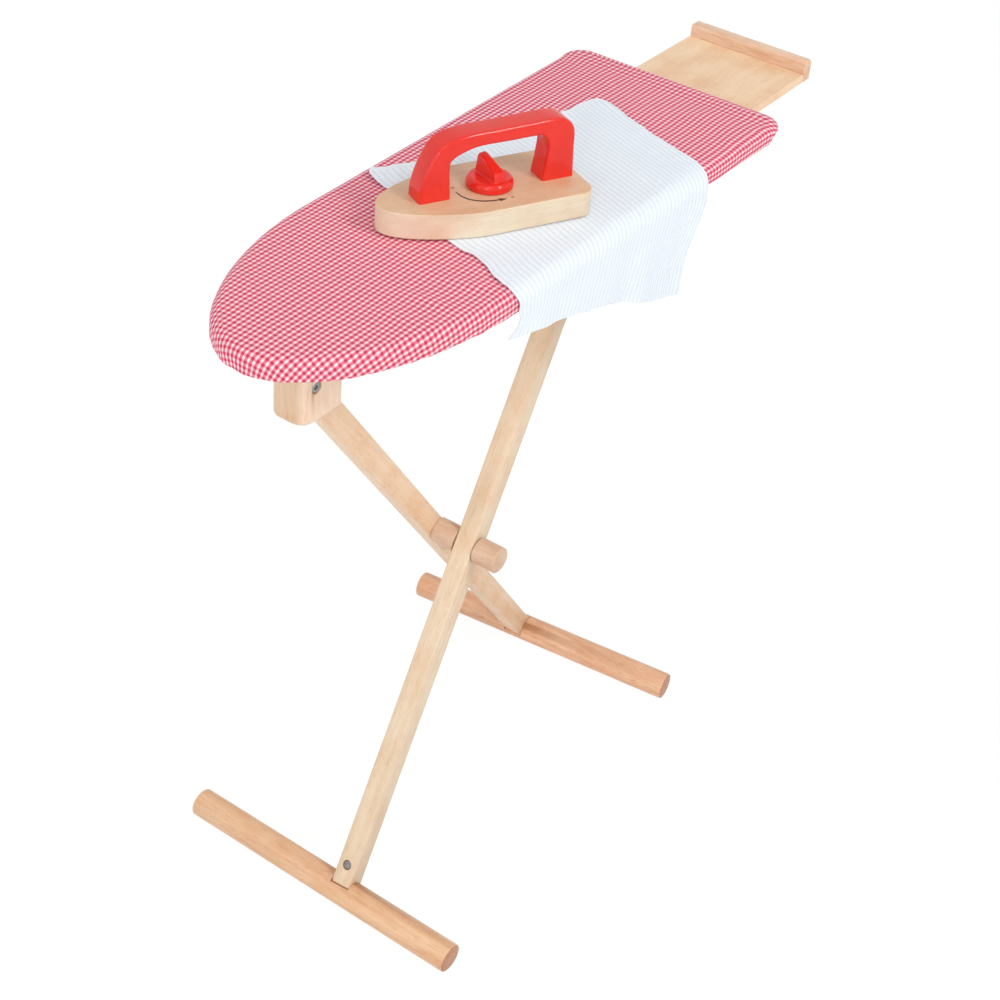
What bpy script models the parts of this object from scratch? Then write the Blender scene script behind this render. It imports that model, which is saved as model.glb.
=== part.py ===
"""Toy ironing board: padded board on a folding cross-leg stand, iron tray, toy iron and pressing cloth.

Metres, +Z up, standing on z = 0. +Y runs from the board's nose to its tray, +X is the iron's side.
The origin is under the middle of the whole object.
"""

import math

import bmesh
import bpy
from mathutils import Matrix, Vector

# clearances and counts
GAP = 0.0003
PASS_GAP = 0.0015
ROUND_SIDES = 32
SMALL_SIDES = 20
SCREW_SIDES = 16
EDGE_STEPS = 4
CROWN_SHARES = (0.14, 0.34, 0.60)

# whole object and board outline
OVERALL_LENGTH = 0.622
BOARD_LENGTH = 0.4952
TAIL_HALF_WIDTH = 0.0930
WAIST_HALF_WIDTH = 0.0870
NOSE_RUN = 0.1660
NOSE_POWER = 1.84
TAIL_CORNER = 0.0140

# padded top
COVER_TOP_Z = 0.5294
COVER_BOTTOM_Z = 0.5128
COVER_THICK = 0.0008
COVER_EDGE_R = 0.0075
COVER_CROWN = 0.0012
COVER_HEM = 0.0200
HEM_CORNER = 0.0010
DECK_THICK = 0.0080
DECK_EASE = 0.0010
LINING = 0.0005

# iron tray
TRAY_WIDTH = 0.1064
TRAY_THICK = 0.0070
TRAY_LAP = 0.1162
TRAY_EASE = 0.0006
END_BAR_THICK = 0.0100
END_BAR_HEIGHT = 0.0175
END_BAR_ROUND = 0.0030

# feet
FOOT_LENGTH = 0.2500
FOOT_R = 0.0115
FOOT_CHAMFER = 0.0012
FOOT_SEAT = 0.0058
NOSE_FOOT_X = 0.01505
NOSE_FOOT_BACK = 0.0706
TAIL_FOOT_TURN = math.radians(6.5)

# legs
LEG_THICK = 0.0160
LEG_DEPTH = 0.0180
LEG_EASE = 0.0011
LEG_SPREAD = 0.03656
PIVOT_Z = 0.2447
HINGE_Z = 0.4796
HINGE_BACK = 0.05645
SLIDE_AHEAD = 0.08461
SLIDE_GAP = 0.0012

# nose block
BLOCK_WIDTH = 0.0300
BLOCK_DEPTH = 0.0368
BLOCK_AHEAD = 0.0127
BLOCK_BOTTOM_Z = 0.4536
BLOCK_CORNER = 0.0100
BLOCK_EASE = 0.0022

# hinge bolt and sleeve nut in the nose block
HINGE_BOLT_R = 0.0025
HINGE_HEAD_R = 0.00425
HINGE_HEAD_THICK = 0.0024
HINGE_HEAD_SINK = 0.0008
HEAD_FACE_SHARE = 0.87
HEAD_EASE_SHARE = 0.22
SOCKET_SHARE = 0.75
SOCKET_SIDES = 6
SLEEVE_R = 0.0035
SLEEVE_FLOOR = 0.0030

# crossing pivot
DOWEL_R = 0.0105
DOWEL_CHAMFER = 0.0008
CAP_LENGTH = 0.0200
PIVOT_BOLT_R = 0.0030
PIVOT_HEAD_R = 0.0057
PIVOT_HEAD_THICK = 0.0036
PIVOT_HEAD_SINK = 0.0006
PIVOT_BOLT_END = 0.0070
INSERT_R = 0.0045
INSERT_LENGTH = 0.0120

# foot bolts and barrel nuts
FOOT_BOLT_R = 0.0025
FOOT_HEAD_R = 0.0045
FOOT_HEAD_THICK = 0.0025
FOOT_HEAD_SINK = 0.0030
BARREL_R = 0.0036
BARREL_LENGTH = 0.0120
BARREL_SINK = 0.0012
BARREL_UP = 0.0226
BARREL_EASE = 0.0004

# wood screws
SCREW_R = 0.0016
SCREW_HEAD_R = 0.0034
SCREW_HEAD_THICK = 0.0020
SCREW_TIP = 0.0024
TRAY_SCREW_SIDE = 0.0380
TRAY_SCREW_FRONT = 0.0180
TRAY_SCREW_STEP = 0.0600
TRAY_SCREW_BITE = 0.0060
BLOCK_SCREW_SIDE = 0.0070
BLOCK_SCREW_LENGTH = 0.0220

# leg guide under the tray
RUNNER_WIDTH = 0.0080
RUNNER_DEEP = 0.0080
RUNNER_END = 0.0160
STOP_DEEP = 0.0120
STOP_LONG = 0.0150

# toy iron: its tip on the board and its turn about Z
IRON_TIP_X = -0.0244
IRON_BACK = 0.1617
IRON_TURN = math.radians(-26.5)
IRON_LENGTH = 0.1455
IRON_WIDTH = 0.0660
IRON_HEIGHT = 0.0178
IRON_NOSE_RUN = 0.0660
IRON_NOSE_POWER = 1.35
IRON_CORNER = 0.0100
IRON_EASE = 0.0016

# iron handle
HANDLE_START = 0.0260
HANDLE_LENGTH = 0.1150
HANDLE_HEIGHT = 0.0445
HANDLE_WIDTH = 0.0180
HANDLE_ROUND = 0.0034
HANDLE_OUTER = ((0.0, 0.0), (0.008, 0.222), (0.045, 0.512), (0.111, 0.813), (0.193, 0.930),
                (0.297, 0.977), (0.488, 0.985), (0.706, 0.997), (0.848, 1.0), (0.927, 0.950),
                (0.980, 0.780), (0.990, 0.425), (1.0, 0.0))
HANDLE_INNER = ((0.790, 0.0), (0.806, 0.278), (0.815, 0.565), (0.790, 0.715), (0.745, 0.764), (0.560, 0.762),
                (0.385, 0.762), (0.290, 0.717), (0.211, 0.628), (0.188, 0.500), (0.199, 0.0))
HANDLE_SCREW_SHARES = (0.100, 0.895)
HANDLE_SCREW_BITE = 0.0140

# dial
DIAL_Y = 0.0818
DIAL_R = 0.0160
DIAL_THICK = 0.0066
DIAL_ROUND = 0.0038
DIAL_TURN = math.radians(13.0)
FIN_HEIGHT = 0.0200
FIN_THICK = 0.0080
FIN_ROUND = 0.0012
FIN_TOP_SHARE = 0.62
FIN_PROFILE = ((-0.66, 0.10), (-0.62, 0.93), (-0.56, 1.0), (-0.46, 0.985), (0.40, 0.580),
               (0.52, 0.500), (0.80, 0.10))
SPINDLE_R = 0.0025
SPINDLE_BITE = 0.0040
SPINDLE_DEPTH_SHARE = 0.6

# pressing cloth: its near left corner, its two edge directions and its waves
CLOTH_THICK = 0.0010
CLOTH_X = -0.0793
CLOTH_BACK = 0.2252
CLOTH_LONG = 0.2133
CLOTH_ACROSS_NEAR = 0.2040
CLOTH_ACROSS_FAR = 0.2215
CLOTH_LONG_TURN = math.radians(76.2)
CLOTH_NEAR_TURN = math.radians(-20.6)
CLOTH_FAR_TURN = math.radians(-19.4)
CLOTH_HANG_SLANT = 0.75
CLOTH_FLARE = 0.0060
CLOTH_WAVE = 0.0022
CLOTH_WAVE_LENGTH = 0.0640
CLOTH_FALL = 0.0750
CLOTH_ROWS = 20
CLOTH_FLAT_CELLS = 9
CLOTH_BEND_CELLS = 5
CLOTH_HANG_CELLS = 6

# derived places
NOSE_Y = -OVERALL_LENGTH / 2
TAIL_Y = NOSE_Y + BOARD_LENGTH
BOARD_MID_Y = (NOSE_Y + TAIL_Y) / 2
HALF_LENGTH = BOARD_LENGTH / 2
DECK_Z = COVER_BOTTOM_Z + COVER_THICK + GAP
DECK_TOP_Z = DECK_Z + DECK_THICK
EDGE_TOP_Z = COVER_TOP_Z - COVER_CROWN
TRAY_TOP_Z = COVER_BOTTOM_Z - GAP
TRAY_Z = TRAY_TOP_Z - TRAY_THICK
TRAY_START_Y = TAIL_Y - TRAY_LAP
TRAY_END_Y = OVERALL_LENGTH / 2 - END_BAR_THICK - GAP
FOOT_Z = FOOT_R * math.cos(math.pi / ROUND_SIDES)
END_R = LEG_DEPTH / 2
SLIDE_Z = TRAY_Z - SLIDE_GAP - END_R
CLOTH_TOP_Z = COVER_TOP_Z + LINING + CLOTH_THICK
IRON_Z = CLOTH_TOP_Z + GAP
TAIL_FOOT_X = (FOOT_LENGTH / 2 * math.cos(TAIL_FOOT_TURN) + FOOT_R * math.sin(TAIL_FOOT_TURN)
               - NOSE_FOOT_X - FOOT_LENGTH / 2)


def along(y0, z0, y1, z1, z):
    """Y where the line through two (y, z) points reaches height z."""
    return y0 + (y1 - y0) * (z - z0) / (z1 - z0)


HINGE_Y = NOSE_Y + HINGE_BACK
SLIDE_Y = TAIL_Y - SLIDE_AHEAD
NOSE_FOOT_Y = NOSE_Y + NOSE_FOOT_BACK
PIVOT_Y = along(NOSE_FOOT_Y, FOOT_Z, SLIDE_Y, SLIDE_Z, PIVOT_Z)
TAIL_FOOT_Y = along(HINGE_Y, HINGE_Z, PIVOT_Y, PIVOT_Z, FOOT_Z)
BLOCK_FRONT_Y = HINGE_Y - BLOCK_AHEAD
HINGE = Vector((0, HINGE_Y, HINGE_Z))
SLIDE_END = Vector((0, SLIDE_Y, SLIDE_Z))
TAIL_JOINT = Vector((-LEG_SPREAD, TAIL_FOOT_Y, FOOT_Z))
NOSE_JOINT = Vector((LEG_SPREAD, NOSE_FOOT_Y, FOOT_Z))
X_AXIS = Vector((1, 0, 0))
Z_AXIS = Vector((0, 0, 1))
FRAMES = {}


def clear_scene():
    for obj in list(bpy.data.objects):
        bpy.data.objects.remove(obj, do_unlink=True)


def material(name, colour, roughness, metallic=0.0):
    mat = bpy.data.materials.new(name)
    mat.use_nodes = True
    shader = mat.node_tree.nodes["Principled BSDF"]
    shader.inputs["Base Color"].default_value = (*colour, 1.0)
    shader.inputs["Roughness"].default_value = roughness
    shader.inputs["Metallic"].default_value = metallic
    mat.diffuse_color = (*colour, 1.0)
    return mat


def empty(name, world, parent=None):
    """An empty on a joint's axis, which carries the pieces that turn there."""
    obj = bpy.data.objects.new(name, None)
    bpy.context.scene.collection.objects.link(obj)
    FRAMES[name] = world
    base = FRAMES[parent.name].inverted() @ world if parent else world
    obj.parent = parent
    obj.matrix_basis = base
    return obj


def add(name, bm, mat, world=None, parent=None, own=False):
    """Makes one object. The mesh is in world coordinates, or in the object's own ones when own is true."""
    world = world or Matrix.Identity(4)
    if not own:
        bmesh.ops.transform(bm, matrix=world.inverted(), verts=bm.verts)
    bmesh.ops.recalc_face_normals(bm, faces=bm.faces)
    mesh = bpy.data.meshes.new(name)
    bm.to_mesh(mesh)
    bm.free()
    mesh.shade_smooth()
    mesh.set_sharp_from_angle(angle=math.radians(35))
    obj = bpy.data.objects.new(name, mesh)
    bpy.context.scene.collection.objects.link(obj)
    if mat:
        mesh.materials.append(mat)
    obj.parent = parent
    obj.matrix_basis = FRAMES[parent.name].inverted() @ world if parent else world
    return obj


def round_edges(obj, width, segments=2, angle=40):
    mod = obj.modifiers.new("rounded edges", "BEVEL")
    mod.width = width
    mod.segments = segments
    mod.limit_method = "ANGLE"
    mod.angle_limit = math.radians(angle)
    mod.use_clamp_overlap = True


def cut(obj, bm, operation="DIFFERENCE", world=None, own=False):
    """Cuts the shapes of bm out of obj, or joins them to it."""
    tool = add(obj.name + "_" + operation.lower(), bm, None, world, own=own)
    tool.hide_render = True
    tool.display_type = "WIRE"
    mod = obj.modifiers.new(operation.lower(), "BOOLEAN")
    mod.operation = operation
    mod.solver = "EXACT"
    mod.object = tool


def rod(bm, radius, start, end, sides=SMALL_SIDES, tip=None, spin=0.5):
    """A round bar between two points, with a flat side down, tapering to radius tip if given."""
    start = Vector(start)
    end = Vector(end)
    way = end - start
    turn = way.to_track_quat("Z", "Y").to_matrix().to_4x4()
    twist = Matrix.Rotation(2 * math.pi * spin / sides, 4, "Z")
    bmesh.ops.create_cone(bm, cap_ends=True, segments=sides, radius1=radius,
                          radius2=radius if tip is None else tip, depth=way.length,
                          matrix=Matrix.Translation((start + end) / 2) @ turn @ twist)


def turned(bm, profile, start, way, sides=SMALL_SIDES):
    """A turned piece: profile lists (distance along way, radius) from start, with closed flat ends."""
    way = Vector(way).normalized()
    turn = way.to_track_quat("Z", "Y").to_matrix().to_4x4()
    base = Matrix.Translation(Vector(start)) @ turn
    rings = []
    for reach, radius in profile:
        ring = []
        for k in range(sides):
            a = 2 * math.pi * (k + 0.5) / sides
            ring.append(bm.verts.new(base @ Vector((radius * math.cos(a), radius * math.sin(a), reach))))
        rings.append(ring)
    for low, high in zip(rings, rings[1:]):
        for k in range(sides):
            j = (k + 1) % sides
            bm.faces.new((low[k], low[j], high[j], high[k]))
    bm.faces.new(tuple(reversed(rings[0])))
    bm.faces.new(tuple(rings[-1]))


def block(bm, low, high):
    low = Vector(low)
    high = Vector(high)
    size = high - low
    place = Matrix.Translation((low + high) / 2) @ Matrix.Diagonal((*size, 1))
    bmesh.ops.create_cube(bm, size=1, matrix=place)


def extrude(bm, points, way):
    """A straight prism from a closed loop of points."""
    face = bm.faces.new([bm.verts.new(p) for p in points])
    grown = bmesh.ops.extrude_face_region(bm, geom=[face])
    moved = [v for v in grown["geom"] if isinstance(v, bmesh.types.BMVert)]
    bmesh.ops.translate(bm, verts=moved, vec=way)


def shell(bm, rings, close_first=True, close_last=True):
    """Bridges rings of equal length, with a face over each end that is closed."""
    loops = [[bm.verts.new(p) for p in ring] for ring in rings]
    for low, high in zip(loops, loops[1:]):
        count = len(low)
        for k in range(count):
            j = (k + 1) % count
            bm.faces.new((low[k], low[j], high[j], high[k]))
    if close_first:
        bm.faces.new(tuple(reversed(loops[0])))
    if close_last:
        bm.faces.new(tuple(loops[-1]))


# board

def board_half_width(y):
    """Half the board's width: a blunt nose, then sides that widen in a straight line to the tail."""
    s = min(max(y - NOSE_Y, 0), BOARD_LENGTH)
    if s < NOSE_RUN:
        return WAIST_HALF_WIDTH * math.sqrt(max(0, 1 - (1 - s / NOSE_RUN) ** NOSE_POWER))
    share = (s - NOSE_RUN) / (BOARD_LENGTH - NOSE_RUN)
    return WAIST_HALF_WIDTH + (TAIL_HALF_WIDTH - WAIST_HALF_WIDTH) * share


def board_outline():
    """The cover's outline, from the nose along +X to the tail and back, with rounded tail corners."""
    side = []
    for k in range(1, 15):
        y = NOSE_Y + NOSE_RUN * (1 - math.cos(math.pi / 2 * k / 14))
        side.append((board_half_width(y), y))
    for k in range(1, 5):
        y = NOSE_Y + NOSE_RUN + (BOARD_LENGTH - NOSE_RUN - TAIL_CORNER) * k / 4
        side.append((board_half_width(y), y))
    for k in range(1, 7):
        a = math.pi / 2 * k / 6
        side.append((TAIL_HALF_WIDTH - TAIL_CORNER + TAIL_CORNER * math.cos(a),
                     TAIL_Y - TAIL_CORNER + TAIL_CORNER * math.sin(a)))
    left = [(-x, y) for x, y in reversed(side)]
    return [(0, NOSE_Y)] + side + left


def ring_at(inset, z):
    """The outline drawn in by inset at height z."""
    sx = 1 - inset / TAIL_HALF_WIDTH
    sy = 1 - inset / HALF_LENGTH
    return [Vector((x * sx, BOARD_MID_Y + (y - BOARD_MID_Y) * sy, z)) for x, y in board_outline()]


def crown_drop(inset):
    """How far the crowned top lies under its highest point at an inset from the edge."""
    share = max(0, TAIL_HALF_WIDTH - inset) / (TAIL_HALF_WIDTH - COVER_EDGE_R)
    return COVER_CROWN * min(1, share) ** 3


def top_rings(depth):
    """Rings of the padded top at a depth under the cover's outside: rounded edge, then the crown."""
    rings = []
    radius = COVER_EDGE_R - depth
    for k in range(EDGE_STEPS + 1):
        a = math.pi / 2 * k / EDGE_STEPS
        rings.append((COVER_EDGE_R - radius * math.cos(a), EDGE_TOP_Z - COVER_EDGE_R + radius * math.sin(a)))
    for share in CROWN_SHARES:
        inset = COVER_EDGE_R + (TAIL_HALF_WIDTH - COVER_EDGE_R) * share
        rings.append((inset, COVER_TOP_Z - crown_drop(inset) - depth))
    return rings


def make_cover(mat):
    bm = bmesh.new()
    profile = [(COVER_HEM, COVER_BOTTOM_Z), (HEM_CORNER, COVER_BOTTOM_Z), (0, COVER_BOTTOM_Z + HEM_CORNER)]
    profile += top_rings(0)
    shell(bm, [ring_at(inset, z) for inset, z in profile], close_first=False)
    obj = add("board_cover", bm, mat)
    wall = obj.modifiers.new("cloth thickness", "SOLIDIFY")
    wall.thickness = COVER_THICK
    wall.offset = -1
    wall.use_even_offset = True
    return obj


def make_pad(mat):
    depth = COVER_THICK + LINING
    low = DECK_TOP_Z + GAP
    rise = low - (EDGE_TOP_Z - COVER_EDGE_R)
    foot = COVER_EDGE_R - math.sqrt((COVER_EDGE_R - depth) ** 2 - max(rise, 0) ** 2)
    bm = bmesh.new()
    profile = [(foot, low)] + [ring for ring in top_rings(depth) if ring[1] > low + GAP]
    shell(bm, [ring_at(inset, z) for inset, z in profile])
    return add("foam_pad", bm, mat)


def make_deck(mat):
    bm = bmesh.new()
    extrude(bm, ring_at(COVER_THICK + LINING + GAP, DECK_Z), Vector((0, 0, DECK_THICK)))
    obj = add("board_deck", bm, mat)
    round_edges(obj, DECK_EASE)
    holes = bmesh.new()
    for x, y in tray_screw_places():
        rod(holes, SCREW_R + GAP, (x, y, DECK_Z - DECK_THICK), (x, y, DECK_Z + TRAY_SCREW_BITE + GAP))
    for x, y in block_screw_places():
        countersink(holes, (x, y, DECK_TOP_Z), -Z_AXIS, DECK_THICK * 2)
    cut(obj, holes)
    return obj


# screws

def tray_screw_places():
    front = TRAY_START_Y + TRAY_SCREW_FRONT
    return [(side * TRAY_SCREW_SIDE, front + step * TRAY_SCREW_STEP) for side in (-1, 1) for step in (0, 1)]


def block_screw_places():
    mid = BLOCK_FRONT_Y + BLOCK_DEPTH / 2
    return [(side * BLOCK_SCREW_SIDE, mid) for side in (-1, 1)]


def screw(bm, head, way, length):
    """A countersunk wood screw with its head's face at head, driven along way."""
    turned(bm, [(GAP, SCREW_HEAD_R), (SCREW_HEAD_THICK, SCREW_R), (length - SCREW_TIP, SCREW_R),
                (length, SCREW_R / 3)], head, way, SCREW_SIDES)


def countersink(bm, mouth, way, length):
    """The screw's hole: a cone at the mouth and a straight bore."""
    wide = SCREW_HEAD_R + GAP
    bore = SCREW_R + GAP
    turned(bm, [(-SCREW_HEAD_THICK, wide), (0, wide), (SCREW_HEAD_THICK, bore), (length, bore)],
           mouth, way, SCREW_SIDES)


def make_tray_screws(mat):
    length = DECK_Z + TRAY_SCREW_BITE - TRAY_Z
    for number, (x, y) in enumerate(tray_screw_places(), 1):
        bm = bmesh.new()
        screw(bm, (x, y, TRAY_Z), Z_AXIS, length)
        add(f"tray_screw_{number}", bm, mat)


def make_block_screws(mat):
    for number, (x, y) in enumerate(block_screw_places(), 1):
        bm = bmesh.new()
        screw(bm, (x, y, DECK_TOP_Z), -Z_AXIS, BLOCK_SCREW_LENGTH)
        add(f"nose_block_screw_{number}", bm, mat)


# iron tray

def make_tray(mat):
    bm = bmesh.new()
    half = TRAY_WIDTH / 2
    block(bm, (-half, TRAY_START_Y, TRAY_Z), (half, TRAY_END_Y, TRAY_TOP_Z))
    obj = add("iron_tray", bm, mat)
    round_edges(obj, TRAY_EASE, 1)
    holes = bmesh.new()
    for x, y in tray_screw_places():
        countersink(holes, (x, y, TRAY_Z), Z_AXIS, TRAY_THICK * 2)
    cut(obj, holes)
    return obj


def make_end_bar(mat):
    """The raised bar across the tray's end, flush with the tray below."""
    bm = bmesh.new()
    half = TRAY_WIDTH / 2
    low_y = TRAY_END_Y + GAP
    block(bm, (-half, low_y, TRAY_Z), (half, low_y + END_BAR_THICK, TRAY_Z + END_BAR_HEIGHT))
    top = [e for e in bm.edges if min(v.co.z for v in e.verts) > TRAY_TOP_Z]
    bmesh.ops.bevel(bm, geom=top, offset=END_BAR_ROUND, segments=4, profile=0.5, affect="EDGES")
    obj = add("tray_end_bar", bm, mat)
    round_edges(obj, TRAY_EASE, 1, 60)
    return obj


def guide_edge():
    """Inner x of the two guide strips, clear of the sliding leg's end."""
    return LEG_THICK / 2 + PASS_GAP


def make_runners(mat):
    inner = guide_edge()
    start = SLIDE_Y - END_R / 2
    end = TRAY_END_Y - RUNNER_END
    for name, side in (("leg_runner_left", -1), ("leg_runner_right", 1)):
        bm = bmesh.new()
        xs = sorted((side * inner, side * (inner + RUNNER_WIDTH)))
        block(bm, (xs[0], start, TRAY_Z - GAP - RUNNER_DEEP), (xs[1], end, TRAY_Z - GAP))
        round_edges(add(name, bm, mat), LEG_EASE, 1)


def make_stop(mat):
    """The block that the sliding leg leans on: its rear face lies along the open leg's front face."""
    way = (SLIDE_END - NOSE_JOINT)
    slope = way.y / way.z
    reach = math.hypot(way.y, way.z)
    top = TRAY_Z - GAP
    off = (END_R + GAP) * reach / way.z
    rear_top = SLIDE_Y + (top - SLIDE_Z) * slope - off
    rear_low = rear_top - STOP_DEEP * slope
    half = guide_edge() + RUNNER_WIDTH
    front = rear_low - STOP_LONG
    bm = bmesh.new()
    extrude(bm, [Vector((-half, front, top)), Vector((-half, rear_top, top)),
                 Vector((-half, rear_low, top - STOP_DEEP)), Vector((-half, front, top - STOP_DEEP))],
            Vector((2 * half, 0, 0)))
    return add("leg_stop", bm, mat)


# stand

def leg_frame(joint, top, origin_z):
    """A leg's own axes, X across its thickness, Y its depth and Z its length, from height origin_z."""
    d = (top - joint).normalized()
    m = Vector((0, d.z, -d.y)).normalized()
    n = m.cross(d)
    turn = Matrix((n, m, d)).transposed().to_4x4()
    origin = joint + (top - joint) * (origin_z - joint.z) / (top.z - joint.z)
    return Matrix.Translation(origin) @ turn


def make_leg(name, joint, top, frame, mat, parent):
    """A square-stock leg with a round top end and a square foot end, seated in the foot's flat notch."""
    own = frame.inverted()
    low = (own @ joint).z + FOOT_SEAT
    high = (own @ top).z
    half = LEG_DEPTH / 2
    points = [Vector((-LEG_THICK / 2, -half, low)), Vector((-LEG_THICK / 2, half, low))]
    for k in range(13):
        a = math.pi * k / 12
        points.append(Vector((-LEG_THICK / 2, half * math.cos(a), high + half * math.sin(a))))
    bm = bmesh.new()
    extrude(bm, points, Vector((LEG_THICK, 0, 0)))
    obj = add(name, bm, mat, frame, parent, own=True)
    round_edges(obj, LEG_EASE)
    return obj


def foot_bore(bm, frame, low, side):
    """The leg's holes for its foot bolt and barrel nut. side is the face where the nut shows."""
    top = low + bolt_reach() + GAP
    rod(bm, FOOT_BOLT_R + GAP, frame @ Vector((0, 0, low - FOOT_R)), frame @ Vector((0, 0, top)))
    mouth = side * LEG_DEPTH
    floor = side * (LEG_DEPTH / 2 - BARREL_SINK - BARREL_LENGTH - GAP)
    nut = low + BARREL_UP
    rod(bm, BARREL_R + GAP, frame @ Vector((0, floor, nut)), frame @ Vector((0, mouth, nut)))


def bolt_reach():
    """How far a foot bolt goes past the leg's end."""
    return BARREL_UP + BARREL_R + SCREW_TIP


def bolt_seat():
    """Distance from a foot's axis to its bolt head's seat, along the leg."""
    return FOOT_R - FOOT_HEAD_SINK - FOOT_HEAD_THICK


def make_foot(name, joint, centre, turn, frame, mat, parent):
    """A dowel foot with a chamfer at each end, housed across its top for the leg's square end."""
    half = Vector((FOOT_LENGTH / 2 * math.cos(turn), FOOT_LENGTH / 2 * math.sin(turn), 0))
    bm = bmesh.new()
    rod(bm, FOOT_R, centre - half, centre + half, ROUND_SIDES)
    place = Matrix.Translation(joint)
    obj = add(name, bm, mat, place, parent)
    round_edges(obj, FOOT_CHAMFER, 2, 60)
    low = (frame.inverted() @ joint).z
    tool = bmesh.new()
    wide = LEG_THICK / 2 + GAP
    block(tool, (-wide, -2 * FOOT_R, low + FOOT_SEAT - GAP), (wide, 2 * FOOT_R, low + 2 * FOOT_R))
    bmesh.ops.transform(tool, matrix=frame, verts=tool.verts)
    seat = low - bolt_seat()
    rod(tool, FOOT_HEAD_R + GAP, frame @ Vector((0, 0, low - 2 * FOOT_R)), frame @ Vector((0, 0, seat - GAP)))
    cut(obj, tool)
    bore = bmesh.new()
    under = low - 2 * FOOT_R
    rod(bore, FOOT_BOLT_R + GAP, frame @ Vector((0, 0, under)), frame @ Vector((0, 0, low + FOOT_R)))
    cut(obj, bore)
    return obj


def make_foot_bolt(name, frame, low, mat, parent):
    seat = low - bolt_seat()
    way = frame.to_3x3() @ Z_AXIS
    head = frame @ Vector((0, 0, seat - GAP * 2 - FOOT_HEAD_THICK))
    length = low + bolt_reach() - seat + GAP * 2 + FOOT_HEAD_THICK
    bm = bmesh.new()
    turned(bm, [(0, FOOT_HEAD_R * HEAD_FACE_SHARE), (FOOT_HEAD_THICK * HEAD_EASE_SHARE, FOOT_HEAD_R),
                (FOOT_HEAD_THICK, FOOT_HEAD_R),
                (FOOT_HEAD_THICK, FOOT_BOLT_R), (length, FOOT_BOLT_R)], head, way)
    return add(name, bm, mat, Matrix.Translation(frame @ Vector((0, 0, low))), parent)


def make_barrel_nut(name, frame, low, side, mat, parent):
    """A barrel nut across the leg, bored for the foot bolt, with a slot in its open end."""
    near = side * (LEG_DEPTH / 2 - BARREL_SINK)
    far = near - side * BARREL_LENGTH
    centre = frame @ Vector((0, 0, low + BARREL_UP))
    bm = bmesh.new()
    rod(bm, BARREL_R, frame @ Vector((0, near, low + BARREL_UP)), frame @ Vector((0, far, low + BARREL_UP)))
    obj = add(name, bm, mat, Matrix.Translation(centre), parent)
    round_edges(obj, BARREL_EASE, 1, 60)
    bore = bmesh.new()
    up = frame.to_3x3() @ Z_AXIS
    rod(bore, FOOT_BOLT_R + GAP, centre - up * BARREL_R * 2, centre + up * BARREL_R * 2)
    cut(obj, bore)
    return obj


def face_x(frame, side, y, z):
    """World x where a leg's side face crosses the line along X at (y, z)."""
    n = frame.to_3x3() @ X_AXIS
    point = frame.translation + n * side * LEG_THICK / 2
    return point.x - (n.y * (y - point.y) + n.z * (z - point.z)) / n.x


def lean(frame, radius):
    """How far a leg's face runs out of square over a radius."""
    n = frame.to_3x3() @ X_AXIS
    return radius * math.hypot(n.y, n.z) / n.x


def pivot_planes(hinged, sliding):
    """World x of the faces at the pivot: the hinged leg's left and right, then the sliding leg's."""
    return [face_x(leg, side, PIVOT_Y, PIVOT_Z) for leg in (hinged, sliding) for side in (-1, 1)]


def on_pivot(x):
    return Vector((x, PIVOT_Y, PIVOT_Z))


def make_spacer(hinged, sliding, mat, parent):
    """The dowel between the legs: cut to the hinged leg's slant at one end, square at the other."""
    planes = pivot_planes(hinged, sliding)
    end = planes[2] - lean(sliding, DOWEL_R) - GAP
    bm = bmesh.new()
    rod(bm, DOWEL_R, on_pivot(planes[0]), on_pivot(end), ROUND_SIDES)
    obj = add("pivot_spacer", bm, mat, Matrix.Translation(on_pivot(planes[1])), parent)
    round_edges(obj, DOWEL_CHAMFER, 1, 60)
    tool = bmesh.new()
    block(tool, (-LEG_THICK, -LEG_DEPTH, -LEG_DEPTH), (LEG_THICK / 2 + GAP, LEG_DEPTH, LEG_DEPTH))
    slant = Matrix.Translation(on_pivot((planes[0] + planes[1]) / 2)) @ hinged.to_3x3().to_4x4()
    bmesh.ops.transform(tool, matrix=slant, verts=tool.verts)
    cut(obj, tool)
    bore = bmesh.new()
    rod(bore, PIVOT_BOLT_R + GAP, on_pivot(planes[0]), on_pivot(planes[3]))
    cut(obj, bore)
    return obj


def cap_start(sliding):
    return face_x(sliding, 1, PIVOT_Y, PIVOT_Z) + lean(sliding, DOWEL_R) + GAP


def make_cap(sliding, mat, parent):
    """The dowel cap outside the sliding leg, with a blind bore for its insert and the bolt's end."""
    start = cap_start(sliding)
    bm = bmesh.new()
    rod(bm, DOWEL_R, on_pivot(start), on_pivot(start + CAP_LENGTH), ROUND_SIDES)
    obj = add("pivot_cap", bm, mat, Matrix.Translation(on_pivot(start)), parent)
    round_edges(obj, DOWEL_CHAMFER, 1, 60)
    bore = bmesh.new()
    deep = INSERT_LENGTH + GAP + DOWEL_CHAMFER
    end = CAP_LENGTH - PIVOT_BOLT_END + GAP + DOWEL_CHAMFER
    wide = INSERT_R + GAP
    narrow = PIVOT_BOLT_R + GAP
    turned(bore, [(0, wide), (deep, wide), (deep, narrow), (end, narrow)],
           on_pivot(start - DOWEL_CHAMFER), X_AXIS)
    cut(obj, bore)
    return obj


def make_insert(sliding, mat, parent):
    start = cap_start(sliding) + GAP
    bm = bmesh.new()
    rod(bm, INSERT_R, on_pivot(start), on_pivot(start + INSERT_LENGTH - GAP))
    obj = add("pivot_insert", bm, mat, Matrix.Translation(on_pivot(start)), parent)
    bore = bmesh.new()
    rod(bore, PIVOT_BOLT_R + GAP, on_pivot(start - INSERT_LENGTH), on_pivot(start + INSERT_LENGTH * 2))
    cut(obj, bore)
    return obj


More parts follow.
